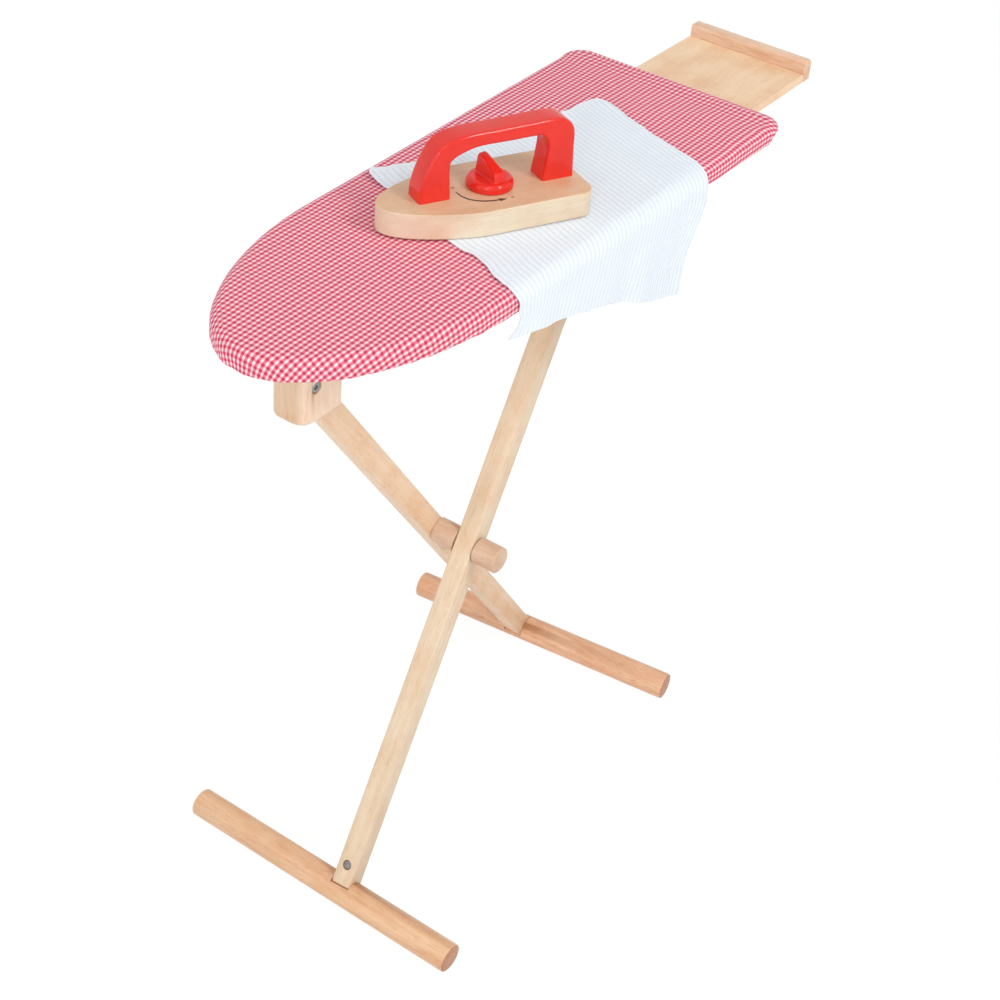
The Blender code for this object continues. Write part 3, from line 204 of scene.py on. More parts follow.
def ply_edge(tree, place, colour, plies):
    """Darker glue lines and end-grain layers on the upright sides of a plywood board."""
    normal = step(tree, "ShaderNodeTexCoord").outputs["Normal"]
    upright = step(tree, "ShaderNodeSeparateXYZ", Vector=normal).outputs["Z"]
    flat = step(tree, "ShaderNodeMath", {"operation": "ABSOLUTE"}, _0=upright)
    side = step(tree, "ShaderNodeMath", {"operation": "LESS_THAN"}, _0=flat.outputs[0], _1=0.5)
    height = step(tree, "ShaderNodeSeparateXYZ", Vector=place).outputs["Z"]
    layer = step(tree, "ShaderNodeMath", {"operation": "DIVIDE"}, _0=height, _1=2 * plies * MM)
    wave = step(tree, "ShaderNodeMath", {"operation": "PINGPONG"}, _0=layer.outputs[0], _1=0.5)
    line = step(tree, "ShaderNodeMapRange", Value=wave.outputs[0], _1=0.15, _2=0.35, _3=0.0, _4=1.0)
    shade = step(tree, "ShaderNodeMix", {"data_type": "RGBA"}, _0=line.outputs[0], _6=paint("#F0DCC4"),
                 _7=paint("#FFF6EA"))
    layers = step(tree, "ShaderNodeMix", {"data_type": "RGBA", "blend_type": "MULTIPLY"}, _0=side.outputs[0],
                  _6=colour, _7=shade.outputs[2])
    return layers.outputs[2]


def lacquer(name, hex_code, deep):
    """Sprayed red gloss lacquer on sawn wood: even colour, a clear highlight and slight orange peel."""
    made, tree, shader = finish(name, 0.14)
    shader.inputs["Specular IOR Level"].default_value = 0.32
    place = step(tree, "ShaderNodeTexCoord").outputs["Object"]
    cloud = step(tree, "ShaderNodeTexNoise", Vector=place, Scale=CLOUDS, Detail=2.0)
    tone = ramp(tree, cloud.outputs["Fac"], (0.30, deep), (0.70, hex_code))
    tree.links.new(tone.outputs["Color"], shader.inputs["Base Color"])
    peel = step(tree, "ShaderNodeTexNoise", Vector=place, Scale=PEEL, Detail=1.0)
    bump = step(tree, "ShaderNodeBump", Height=peel.outputs["Fac"], Strength=0.05, Distance=0.05 * MM)
    tree.links.new(bump.outputs[0], shader.inputs["Normal"])
    return made


def zinc(name, dark, light):
    """Zinc-plated steel: grey, slightly blotched metal with soft reflections."""
    made, tree, shader = finish(name, 0.34, metallic=1.0)
    place = step(tree, "ShaderNodeTexCoord").outputs["Object"]
    spangle = step(tree, "ShaderNodeTexNoise", Vector=place, Scale=SPANGLES, Detail=2.0)
    tone = ramp(tree, spangle.outputs["Fac"], (0.3, dark), (0.7, light))
    tree.links.new(tone.outputs["Color"], shader.inputs["Base Color"])
    rough = step(tree, "ShaderNodeMapRange", Value=spangle.outputs["Fac"], _3=0.26, _4=0.44)
    tree.links.new(rough.outputs[0], shader.inputs["Roughness"])
    return made


def half_stripe(tree, value, period, low):
    """1 on about half of each period of a coordinate in mm, from the share low on, with soft edges as dyed
    yarns make them."""
    turns = step(tree, "ShaderNodeMath", {"operation": "DIVIDE"}, _0=value, _1=period)
    swing = step(tree, "ShaderNodeMath", {"operation": "PINGPONG"}, _0=turns.outputs[0], _1=0.5)
    band = step(tree, "ShaderNodeMapRange", Value=swing.outputs[0], _1=low, _2=low + 0.07, _3=0.0, _4=1.0)
    return band.outputs[0]


def gingham():
    """Yarn-dyed cotton gingham, woven in 4 mm checks: red where both bands cross, pink where one runs and
    white between. The bands along the board are dyed a little stronger than the ones across it."""
    made, tree, shader = finish("red gingham cotton", 0.88, sheen=0.12)
    cloth = step(tree, "ShaderNodeUVMap", {"uv_map": "cloth mm"}).outputs[0]
    # the cloth was pulled a little out of line when it was stretched
    drift = step(tree, "ShaderNodeTexNoise", Vector=cloth, Scale=0.022, Detail=2.0)
    slip = step(tree, "ShaderNodeVectorMath", {"operation": "SCALE"}, Vector=drift.outputs["Color"],
                Scale=2.6)
    pulled = step(tree, "ShaderNodeVectorMath", {"operation": "ADD"}, _0=cloth, _1=slip.outputs[0])
    laid = step(tree, "ShaderNodeMapping", Vector=pulled.outputs[0], Rotation=(0, 0, math.radians(-1.2)))
    way = step(tree, "ShaderNodeSeparateXYZ", Vector=laid.outputs[0])
    warp = half_stripe(tree, way.outputs["X"], WARP_PERIOD, 0.180)
    weft = half_stripe(tree, way.outputs["Y"], WEFT_PERIOD, 0.235)
    strong = step(tree, "ShaderNodeMath", {"operation": "MULTIPLY"}, _0=warp, _1=0.60)
    both = step(tree, "ShaderNodeMath", {"operation": "MULTIPLY_ADD"}, _0=weft, _1=0.40, _2=strong.outputs[0])
    # single yarns took more or less dye
    dye = step(tree, "ShaderNodeTexNoise", Vector=laid.outputs[0], Scale=0.9, Detail=2.0)
    uneven = step(tree, "ShaderNodeMapRange", Value=dye.outputs["Fac"], _1=0.3, _2=0.7, _3=-0.10, _4=0.10)
    depth = step(tree, "ShaderNodeMath", {"operation": "ADD", "use_clamp": True}, _0=both.outputs[0],
                 _1=uneven.outputs[0])
    tone = ramp(tree, depth.outputs[0], (0.0, "#FFE6EA"), (0.40, "#F79CAC"), (0.60, "#EE748C"),
                (1.0, "#CB2A4B"))
    bump, shade = weave(tree, way, GINGHAM_THREAD)
    mixed = step(tree, "ShaderNodeMix", {"data_type": "RGBA", "blend_type": "MULTIPLY"}, _0=0.35,
                 _6=tone.outputs["Color"], _7=shade)
    tree.links.new(mixed.outputs[2], shader.inputs["Base Color"])
    tree.links.new(bump, shader.inputs["Normal"])
    return made


def weave(tree, way, pitch):
    """A plain weave's over and under at a thread pitch in mm: its bump and its shade."""
    across = step(tree, "ShaderNodeMath", {"operation": "MULTIPLY"}, _0=way.outputs["X"], _1=math.pi / pitch)
    along = step(tree, "ShaderNodeMath", {"operation": "MULTIPLY"}, _0=way.outputs["Y"], _1=math.pi / pitch)
    over = step(tree, "ShaderNodeMath", {"operation": "SINE"}, _0=across.outputs[0])
    under = step(tree, "ShaderNodeMath", {"operation": "SINE"}, _0=along.outputs[0])
    cross = step(tree, "ShaderNodeMath", {"operation": "MULTIPLY"}, _0=over.outputs[0], _1=under.outputs[0])
    level = step(tree, "ShaderNodeMapRange", Value=cross.outputs[0], _1=-1.0, _2=1.0)
    bump = step(tree, "ShaderNodeBump", Height=level.outputs[0], Strength=0.25, Distance=0.12 * MM)
    shade = ramp(tree, level.outputs[0], (0.0, "#D8D8D8"), (1.0, "#FFFFFF"))
    return bump.outputs[0], shade.outputs["Color"]


def striped_cotton():
    """White ribbed tea-towel cotton: pale blue-grey stripes across its short side, fine ribs between them and
    a plain white hem along its left side."""
    made, tree, shader = finish("striped white cotton", 0.92, sheen=0.15)
    cloth = step(tree, "ShaderNodeUVMap", {"uv_map": "cloth mm"}).outputs[0]
    drift = step(tree, "ShaderNodeTexNoise", Vector=cloth, Scale=0.04, Detail=3.0)
    slip = step(tree, "ShaderNodeVectorMath", {"operation": "SCALE"}, Vector=drift.outputs["Color"],
                Scale=4.0)
    laid = step(tree, "ShaderNodeVectorMath", {"operation": "ADD"}, _0=cloth, _1=slip.outputs[0])
    way = step(tree, "ShaderNodeSeparateXYZ", Vector=laid.outputs[0])
    turns = step(tree, "ShaderNodeMath", {"operation": "DIVIDE"}, _0=way.outputs["Y"], _1=STRIPE_PERIOD)
    swing = step(tree, "ShaderNodeMath", {"operation": "PINGPONG"}, _0=turns.outputs[0], _1=0.5)
    line = step(tree, "ShaderNodeMapRange", Value=swing.outputs[0], _1=0.06, _2=0.26, _3=1.0, _4=0.0)
    slub = step(tree, "ShaderNodeTexNoise", Vector=cloth, Scale=0.35, Detail=3.0)
    weight = step(tree, "ShaderNodeMath", {"operation": "MULTIPLY"}, _0=line.outputs[0],
                  _1=slub.outputs["Fac"])
    place = step(tree, "ShaderNodeSeparateXYZ", Vector=cloth)
    body = step(tree, "ShaderNodeMapRange", Value=place.outputs["X"], _1=PLAIN_HEM[0], _2=PLAIN_HEM[1])
    kept = step(tree, "ShaderNodeMath", {"operation": "MULTIPLY"}, _0=weight.outputs[0], _1=body.outputs[0])
    tone = ramp(tree, kept.outputs[0], (0.0, "#EEF4FB"), (0.75, "#D5E0EC"))
    bump, shade = weave(tree, way, COTTON_THREAD)
    mixed = step(tree, "ShaderNodeMix", {"data_type": "RGBA", "blend_type": "MULTIPLY"}, _0=0.12,
                 _6=tone.outputs["Color"], _7=shade)
    tree.links.new(mixed.outputs[2], shader.inputs["Base Color"])
    rib = step(tree, "ShaderNodeBump", Height=swing.outputs[0], Normal=bump, Strength=0.35, Distance=0.5 * MM)
    tree.links.new(rib.outputs[0], shader.inputs["Normal"])
    return made


def foam():
    """White polyester foam with fine open cells, dull all over and hidden under the cover."""
    made, tree, shader = finish("white foam", 0.95)
    place = step(tree, "ShaderNodeTexCoord").outputs["Object"]
    cell = step(tree, "ShaderNodeTexNoise", Vector=place, Scale=CELLS)
    tone = ramp(tree, cell.outputs["Fac"], (0.3, "#DEDCD6"), (0.7, "#F3F2EE"))
    tree.links.new(tone.outputs["Color"], shader.inputs["Base Color"])
    return made


def print_ink(name, dark, light):
    """Thin dark brown stamping ink that lets a little of the grain through."""
    made, tree, shader = finish(name, 0.6)
    place = step(tree, "ShaderNodeTexCoord").outputs["Object"]
    speck = step(tree, "ShaderNodeTexNoise", Vector=place, Scale=SPECKS)
    tone = ramp(tree, speck.outputs["Fac"], (0.35, dark), (0.75, light))
    tree.links.new(tone.outputs["Color"], shader.inputs["Base Color"])
    return made


# making pieces

def alone(piece):
    """Selects one piece and nothing else."""
    bpy.ops.object.select_all(action="DESELECT")
    piece.select_set(True)
    bpy.context.view_layer.objects.active = piece


def plate(name, outline, lift):
    """A flat face along an outline of points, extruded by lift."""
    bpy.ops.object.select_all(action="DESELECT")
    bpy.ops.mesh.primitive_circle_add(vertices=len(outline), fill_type="NGON")
    piece = bpy.context.object
    piece.name = name
    for vert, place in zip(piece.data.vertices, outline):
        vert.co = place
    alone(piece)
    bpy.ops.object.mode_set(mode="EDIT")
    bpy.ops.mesh.select_all(action="SELECT")
    bpy.ops.mesh.extrude_region_move(TRANSFORM_OT_translate={"value": lift})
    bpy.ops.mesh.select_all(action="SELECT")
    bpy.ops.mesh.normals_make_consistent(inside=False)
    bpy.ops.object.mode_set(mode="OBJECT")
    return piece


def ease_edges(piece, chosen, width, segments):
    """Rounds the edges whose two ends pass the test."""
    alone(piece)
    mesh = piece.data
    for group in (mesh.vertices, mesh.edges, mesh.polygons):
        for item in group:
            item.select = False
    for edge in mesh.edges:
        a, b = (mesh.vertices[k].co for k in edge.vertices)
        edge.select = chosen(a, b)
    bpy.ops.object.mode_set(mode="EDIT")
    bpy.ops.mesh.select_mode(type="EDGE")
    bpy.ops.mesh.bevel(offset=width, segments=segments, profile=0.5, affect="EDGES", clamp_overlap=True)
    bpy.ops.object.mode_set(mode="OBJECT")


def settle(piece, body, material, place=None, nodes=(), angle=32):
    """Puts a piece in its place, finishes its surface and lets it ride on its body in place of CAD nodes."""
    if place is not None:
        piece.data.transform(place)
    alone(piece)
    bpy.ops.object.shade_smooth_by_angle(angle=math.radians(angle))
    piece.data.materials.clear()
    piece.data.materials.append(material)
    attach(piece, body)
    if nodes:
        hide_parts(*nodes)
    return piece


def dressed(node, body, material):
    """A merged copy of a CAD piece with its real finish."""
    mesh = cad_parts[node].data.copy()
    piece = bpy.data.objects.new(node.replace("_", "-") + "-finished", mesh)
    bpy.context.scene.collection.objects.link(piece)
    alone(piece)
    bpy.ops.object.mode_set(mode="EDIT")
    bpy.ops.mesh.select_all(action="SELECT")
    bpy.ops.mesh.remove_doubles(threshold=0.000002)
    bpy.ops.mesh.dissolve_limited(angle_limit=math.radians(0.5))
    bpy.ops.object.mode_set(mode="OBJECT")
    return settle(piece, body, material, nodes=(node,))


# padded top

def soft_step(x):
    """0 to 1 with soft ends, as x goes from 0 to 1."""
    x = min(1.0, max(0.0, x))
    return x * x * (3 - 2 * x)


def half_width(y):
    """The board's half width at a place along it."""
    s = min(max(y - NOSE_Y, 0), TAIL_Y - NOSE_Y)
    if s < NOSE_RUN:
        return WAIST * math.sqrt(max(0, 1 - (1 - s / NOSE_RUN) ** NOSE_POWER))
    return WAIST + (TAIL - WAIST) * (s - NOSE_RUN) / (TAIL_Y - NOSE_Y - NOSE_RUN)


def board_outline():
    """The board's outline as points, from the nose round the right side."""
    side = []
    for k in range(1, 61):
        y = NOSE_Y + NOSE_RUN * (1 - math.cos(math.pi / 2 * k / 60))
        side.append((half_width(y), y))
    for k in range(1, 61):
        y = NOSE_Y + NOSE_RUN + (TAIL_Y - NOSE_Y - NOSE_RUN - CORNER) * k / 60
        side.append((half_width(y), y))
    for k in range(1, 13):
        a = math.pi / 2 * k / 12
        side.append((TAIL - CORNER + CORNER * math.cos(a), TAIL_Y - CORNER + CORNER * math.sin(a)))
    for k in range(1, 21):
        side.append(((TAIL - CORNER) * (1 - k / 20), TAIL_Y))
    left = [(-x, y) for x, y in reversed(side[:-1])]
    return [(0, NOSE_Y)] + side + left


def crown_drop(inset):
    """How far the crowned top lies under its highest place, at a distance from the edge."""
    share = max(0, TAIL - inset) / (TAIL - EDGE_R)
    return CROWN * min(1, share) ** 3


def soft_profile(depth):
    """The padded top's rings (inset, height) at a depth under the cover's face, from its side inwards."""
    rings = []
    radius = EDGE_R - depth
    low = COVER_LOW + FOOT_R
    for k in range(6):
        z = low + (COVER_HIGH - CROWN - EDGE_R - low) * k / 6
        rings.append((depth, z))
    for k in range(13):
        a = math.pi / 2 * k / 12
        rings.append((EDGE_R - radius * math.cos(a), COVER_HIGH - CROWN - EDGE_R + radius * math.sin(a)))
    for k in range(1, 24):
        inset = EDGE_R + (TAIL - EDGE_R) * (k / 24.3)
        rings.append((inset, COVER_HIGH - crown_drop(inset) - depth))
    return rings


def ridge(x, y, ax, ay, bx, by, wide, high):
    """The height of one soft wrinkle that runs from a to b and fades at both ends."""
    along = Vector((bx - ax, by - ay))
    share = ((x - ax) * along.x + (y - ay) * along.y) / along.length_squared
    if not 0 < share < 1:
        return 0.0
    aside = ((x - ax) * along.y - (y - ay) * along.x) / along.length
    return high * math.sin(math.pi * share) ** 2 * math.exp(-(aside / wide) ** 2)


# soft wrinkles of the cover: both ends, width and height, in mm
WRINKLES = ((92, -148, 30, -168, 5.0, 0.9), (84, -186, 22, -196, 6.0, 0.7), (76, -212, 20, -226, 6.0, 0.6),
            (-72, -226, -38, -262, 6.0, 0.5), (-86, -120, -40, -148, 7.0, 0.4), (60, 170, 30, 128, 6.0, 0.5),
            (-60, 172, -20, 132, 7.0, 0.5), (88, 150, 70, 108, 5.0, 0.5), (-10, -296, 16, -262, 7.0, 0.4))


def pucker(x, y, z, inset):
    """How far the cover's face stands out: small gathers along its side and shallow wrinkles on its top."""
    low = max(0.0, (COVER_HIGH - z) / (COVER_HIGH - COVER_LOW))
    gather = noise.noise(Vector((x * 120, y * 120, 3))) * 0.0011 * low
    wrinkle = noise.noise(Vector((x * 22, y * 30, 7))) * 0.0005
    for ax, ay, bx, by, wide, high in WRINKLES:
        wrinkle += ridge(x / MM, y / MM, ax, ay, bx, by, wide, high) * MM
    return gather + wrinkle * min(1, inset / 0.01)


def fullness(x, y):
    """The cover is stuffed fuller at its tail edge and drawn in at the nose's left."""
    tail = max(0.0, min(1.0, (y - FULL_FROM) / FULL_RUN)) ** 2
    nose = math.exp(-((x - DRAWN_X) / DRAWN_WIDE) ** 2 - ((y - DRAWN_Y) / DRAWN_LONG) ** 2)
    return TAIL_FULL * tail - NOSE_DRAWN * nose


def soft_rings(name, rings, lively):
    """Bridges rings of the board's outline into a mesh with its cloth laid out in mm."""
    outline = board_outline()
    count = len(outline)
    normals = []
    for k in range(count):
        ax, ay = outline[k - 1]
        bx, by = outline[(k + 1) % count]
        away = Vector((by - ay, ax - bx)).normalized()
        normals.append(away)
    start = max(k for k, (inset, z) in enumerate(rings) if inset <= EDGE_R and z > SIDE_FOOT)
    bm = bmesh.new()
    lay = bm.loops.layers.uv.new("cloth mm")
    flat, loops = [], []
    reach, before = 0.0, rings[start]
    for number in range(len(rings) - 1, -1, -1):
        inset, z = rings[number]
        if number < start:
            reach += math.hypot(inset - before[0], z - before[1])
            before = (inset, z)
        base = max(inset, EDGE_R) if number >= start else rings[start][0]
        loop, spread = [], []
        for (x, y), away in zip(outline, normals):
            px, py = x * (1 - inset / TAIL), MID_Y + (y - MID_Y) * (1 - inset / HALF_LONG)
            qx, qy = x * (1 - base / TAIL), MID_Y + (y - MID_Y) * (1 - base / HALF_LONG)
            lift = pucker(px, py, z, inset) * lively
            high = soft_step((z - COVER_LOW) / FULL_HIGH)
            full = fullness(x, y) * max(0.0, 1 - inset / FULL_IN) * (0.05 + 0.95 * high) * lively
            turned = min(1.0, inset / EDGE_R) if z > SIDE_FOOT else 0.0
            out = away * (lift * (1 - turned) + full)
            up = lift * turned
            loop.append(bm.verts.new((px + out.x, py + out.y, z + up)))
            spread.append(((qx + away.x * reach) / MM, (qy + away.y * reach) / MM))
        loops.append(loop)
        flat.append(spread)
    for r in range(len(loops) - 1):
        for k in range(count):
            j = (k + 1) % count
            face = bm.faces.new((loops[r][k], loops[r][j], loops[r + 1][j], loops[r + 1][k]))
            for corner, uv in zip(face.loops, (flat[r][k], flat[r][j], flat[r + 1][j], flat[r + 1][k])):
                corner[lay].uv = uv
    cap = bm.faces.new(loops[0])
    for corner, uv in zip(cap.loops, flat[0]):
        corner[lay].uv = uv
    bmesh.ops.recalc_face_normals(bm, faces=bm.faces)
    mesh = bpy.data.meshes.new(name)
    bm.to_mesh(mesh)
    bm.free()
    piece = bpy.data.objects.new(name, mesh)
    bpy.context.scene.collection.objects.link(piece)
    return piece


def make_cover(material):
    """The cotton cover: its turned edge underneath, its rounded foot, its side and its crowned top."""
    rings = [(HEM, COVER_LOW), (HEM * 0.7, COVER_LOW), (HEM * 0.4, COVER_LOW), (HEM * 0.2, COVER_LOW)]
    for k in range(6):
        a = math.pi / 2 * k / 6
        rings.append((FOOT_R * (1 - math.sin(a)), COVER_LOW + FOOT_R * (1 - math.cos(a))))
    rings += soft_profile(0)
    cover = soft_rings("gingham-cover", rings, 1.0)
    alone(cover)
    wall = cover.modifiers.new("cotton", "SOLIDIFY")
    wall.thickness = COTTON_THICK
    wall.offset = -1
    bpy.ops.object.modifier_apply(modifier=wall.name)
    settle(cover, "board", material, nodes=("board_cover",), angle=60)
    return cover


def make_foam(material):
    """The foam pad, which fills the cover above the deck."""
    tuck = 0.0002
    rings = [r for r in soft_profile(FOAM_DEEP) if r[1] > FOAM_LOW + tuck]
    rings = [(rings[0][0] + tuck, FOAM_LOW)] + rings
    pad = soft_rings("foam-pad", rings, 0.0)
    alone(pad)
    bpy.ops.object.mode_set(mode="EDIT")
    bpy.ops.mesh.select_all(action="SELECT")
    bpy.ops.mesh.region_to_loop()
    bpy.ops.mesh.edge_face_add()
    bpy.ops.mesh.select_all(action="SELECT")
    bpy.ops.mesh.normals_make_consistent(inside=False)
    bpy.ops.object.mode_set(mode="OBJECT")
    settle(pad, "board", material, nodes=("foam_pad",), angle=60)
    return pad


# pressing cloth

CLOTH_START = Vector((-0.0793, -0.0858))
CLOTH_LONG, CLOTH_NEAR, CLOTH_FAR = 0.2133, 0.2075, 0.2215
LONG_WAY = Vector((math.cos(math.radians(76.2)), math.sin(math.radians(76.2))))
NEAR_TURN, FAR_TURN = math.radians(-20.6), math.radians(-19.4)
CLOTH_BEND = 0.0100
# the cloth's middle over the cover, and how far its fall stands off the board's side at the near and far edge
CLOTH_LIFT, CLOTH_OFF, CLOTH_OFF_MORE, CLOTH_BEND_MORE = 0.0010, 0.0018, 0.0024, 0.0030
# how far off the iron the cloth lies loose, and where it eases up
IRON_CLEAR, CLOTH_EASES = 0.0020, 0.0120
# its cut edges stand up a little, and its near left corner curls: how high and how far in
LOOSE_HIGH, LOOSE_IN, CURL_HIGH, CURL_IN = 0.0010, 0.0120, 0.0026, 0.0160
# how far in the near and far edges wander, and how far along the board a row runs before the bend
WANDER_IN, ROW_RUN = 0.0200, 0.0650
# the rounded corners, in the order near left, far left, near right and far right
LEFT_CORNERS, RIGHT_CORNERS = (0.002, 0.014), (0.001, 0.002)
# the hanging folds: (height, distance from fold to fold, start)
FOLDS = ((0.0015, 0.064, 0.9), (0.0006, 0.037, 2.0))
# how far the cut edges wander, in mm: (share along the edge, way)
NEAR_WANDER = ((0, -1.6), (0.025, -5.6), (0.06, -6.2), (0.11, -5.4), (0.15, -2.4), (0.30, -0.5),
               (0.49, -4.4), (0.56, -3.6), (0.63, 0.6), (0.68, 0.6), (0.75, -2.4), (0.84, -0.6), (1, 0))
LEFT_WANDER = ((0, 0), (0.03, 2.6), (0.065, 4.5), (0.11, 4.6), (0.16, 7.4), (0.50, 8.6), (0.81, 8.6),
               (0.90, 4.6), (1, 3.2))
FAR_WANDER = ((0, 0), (0.08, -1.6), (0.20, -3.2), (0.31, -4.2), (0.42, -2.8), (0.52, -0.8), (1, 0))
HEM_WANDER = ((0, 0), (0.07, -1.2), (0.16, -3.0), (0.27, -5.0), (0.38, -6.6), (0.50, -7.7),
              (0.62, -6.0), (0.73, -3.1), (0.84, -1.0), (0.93, -0.5), (1, 0))
# how the hanging part's near and far edge swing along the board, in mm: (mm below the bend, way)
NEAR_SWING = ((-12, 0), (2, 5.0), (11, 8.8), (17, 6.2), (20, -0.5), (26, -2.0))
FAR_SWING = ((-4, 0), (8, 3.0), (20, 0.3), (31, -4.1), (41, -7.3), (51, -7.6), (63, -4.1), (73, -1.8),
             (83, 2.0))


def wander(table, share):
    """A smooth line through a table of (place, way in mm)."""
    share = max(share, table[0][0])
    for (a, low), (b, high) in zip(table, table[1:]):
        if share <= b:
            t = (share - a) / (b - a)
            t = t * t * (3 - 2 * t)
            return (low + (high - low) * t) * MM
    return table[-1][1] * MM


def edge_inset(x, y):
    """How far a place on the board lies inside its outline, as the cover's rings count it."""
    inset = TAIL - abs(x)
    for _ in range(8):
        y_out = MID_Y + (y - MID_Y) / (1 - inset / HALF_LONG)
        inset = min(max(TAIL * (1 - abs(x) / half_width(y_out)), 0), TAIL * 0.99)
    return inset


def clear_of_iron(x, y):
    """0 under the iron's sole, 1 from 12 mm away."""
    place = IRON.inverted() @ Vector((x, y, IRON.translation.z))
    aside = max(0.0, abs(place.x) - IRON_WIDE / 2 - IRON_CLEAR)
    ahead = max(0.0, -place.y, place.y - IRON_LONG - IRON_CLEAR)
    return soft_step(math.hypot(aside, ahead) / CLOTH_EASES)


def cloth_place(p, y, v, rim, tip):
    """The cloth's middle at flat place (p, y): on the board, in a soft bend round its right edge, then in
    hanging folds. v is its share from the near edge to the far one, rim its distance from the nearest cut
    edge and tip its distance from the corner that curls up."""
    edge = half_width(y)
    radius = CLOTH_BEND + CLOTH_BEND_MORE * soft_step(v)
    bend = edge + CLOTH_OFF + CLOTH_OFF_MORE * v - radius
    loose = math.exp(-rim / LOOSE_IN)
    ripple = noise.noise(Vector((p * 34, y * 34, 1))) * 0.0008
    ripple += noise.noise(Vector((p * 90, y * 90, 5))) * 0.00022
    if p <= bend:
        free = clear_of_iron(p, y)
        lift = max(ripple, -0.0002) * free
        lift += free * loose * LOOSE_HIGH * (0.4 + abs(noise.noise(Vector((p * 60, y * 60, 9)))) * 2.2)
        lift += free * CURL_HIGH * math.exp(-(tip / CURL_IN) ** 2)
        return Vector((p, y, COVER_HIGH + CLOTH_LIFT - crown_drop(edge_inset(p, y)) + lift))
    top = COVER_HIGH + CLOTH_LIFT - crown_drop(edge_inset(min(bend, edge), y))
    arc = p - bend
    quarter = radius * math.pi / 2
    fall = arc - quarter
    swing = wander(NEAR_SWING, fall / MM) * soft_step((0.22 - v) / 0.22)
    swing += wander(FAR_SWING, fall / MM) * soft_step((v - 0.66) / 0.34)
    if arc < quarter:
        a = arc / radius
        return Vector((bend + radius * math.sin(a), y + swing,
                       top - radius * (1 - math.cos(a)) + ripple * math.cos(a)))
    share = fall / 0.075
    fold = sum(high * math.sin(2 * math.pi * y / apart + start) for high, apart, start in FOLDS)
    out = 0.0006 * soft_step(fall / 0.030) + fold * share ** 0.7 + ripple * min(1, share * 3)
    return Vector((bend + radius + out, y + swing, top - radius - fall))


def even_then_fine(count):
    """Shares from 0 to 1 that lie closer together towards both ends."""
    return [(k / count + 0.55 * (0.5 - 0.5 * math.cos(math.pi * k / count))) / 1.55 for k in range(count + 1)]


def make_cloth(material):
    """The pressing cloth: a grid with wandering edges, laid over the board and down its right side."""
    rows, cols = 130, 140
    bm = bmesh.new()
    lay = bm.loops.layers.uv.new("cloth mm")
    grid, flat = [], []
    for v in even_then_fine(rows):
        across = CLOTH_NEAR + (CLOTH_FAR - CLOTH_NEAR) * v
        turn = NEAR_TURN + (FAR_TURN - NEAR_TURN) * v
        way = Vector((math.cos(turn), math.sin(turn)))
        start = CLOTH_START + LONG_WAY * (CLOTH_LONG * v)
        to_bend = (half_width(start.y - ROW_RUN) - EDGE_R - start.x) / way.x
        near, far = CLOTH_LONG * v, CLOTH_LONG * (1 - v)
        first = corner_inset(near, LEFT_CORNERS[0]) + corner_inset(far, LEFT_CORNERS[1])
        first += wander(LEFT_WANDER, v)
        last = across - corner_inset(near, RIGHT_CORNERS[0]) - corner_inset(far, RIGHT_CORNERS[1])
        last += wander(HEM_WANDER, v)
        line, spread = [], []
        for w in even_then_fine(cols):
            u = first + (last - first) * w
            ends = u / across
            shift = wander(NEAR_WANDER, ends) * math.exp(-near / WANDER_IN)
            shift += wander(FAR_WANDER, ends) * math.exp(-far / WANDER_IN)
            hung = u - 0.25 * max(0.0, u - to_bend)
            place = start + Vector((way.x * u, way.y * hung + shift))
            rim = min(near, far, u - first)
            tip = math.hypot(near, u - first)
            line.append(bm.verts.new(cloth_place(place.x, place.y, v, rim, tip)))
            spread.append(((u - first) / MM, near / MM))
        grid.append(line)
        flat.append(spread)
    for r in range(rows):
        for c in range(cols):
            face = bm.faces.new((grid[r][c], grid[r][c + 1], grid[r + 1][c + 1], grid[r + 1][c]))
            uvs = (flat[r][c], flat[r][c + 1], flat[r + 1][c + 1], flat[r + 1][c])
            for corner, uv in zip(face.loops, uvs):
                corner[lay].uv = uv
    mesh = bpy.data.meshes.new("pressing-cloth")
    bm.to_mesh(mesh)
    bm.free()
    cloth = bpy.data.objects.new("pressing-cloth", mesh)
    bpy.context.scene.collection.objects.link(cloth)
    alone(cloth)
    wall = cloth.modifiers.new("cotton", "SOLIDIFY")
    wall.thickness = COTTON_THICK
    wall.offset = 0
    bpy.ops.object.modifier_apply(modifier=wall.name)
    settle(cloth, "board", material, nodes=("press_cloth",), angle=60)
    return cloth


def corner_inset(way, radius):
    """How far a rounded corner draws the edge in at a distance from the corner."""
    return radius - math.sqrt(radius ** 2 - max(0.0, radius - way) ** 2)


# toy iron

def smooth_line(points, steps):
    """A smooth line through points, with so many steps between two of them."""
    pts = [2 * Vector(points[0]) - Vector(points[1])] + [Vector(p) for p in points]
    pts.append(2 * pts[-1] - pts[-2])
    line = []
    for a, b, c, d in zip(pts, pts[1:], pts[2:], pts[3:]):
        for k in range(steps):
            t = k / steps
            line.append(0.5 * (2 * b + (c - a) * t + (2 * a - 5 * b + 4 * c - d) * t * t
                               + (3 * b - a - 3 * c + d) * t ** 3))
    line.append(pts[-2])
    return line


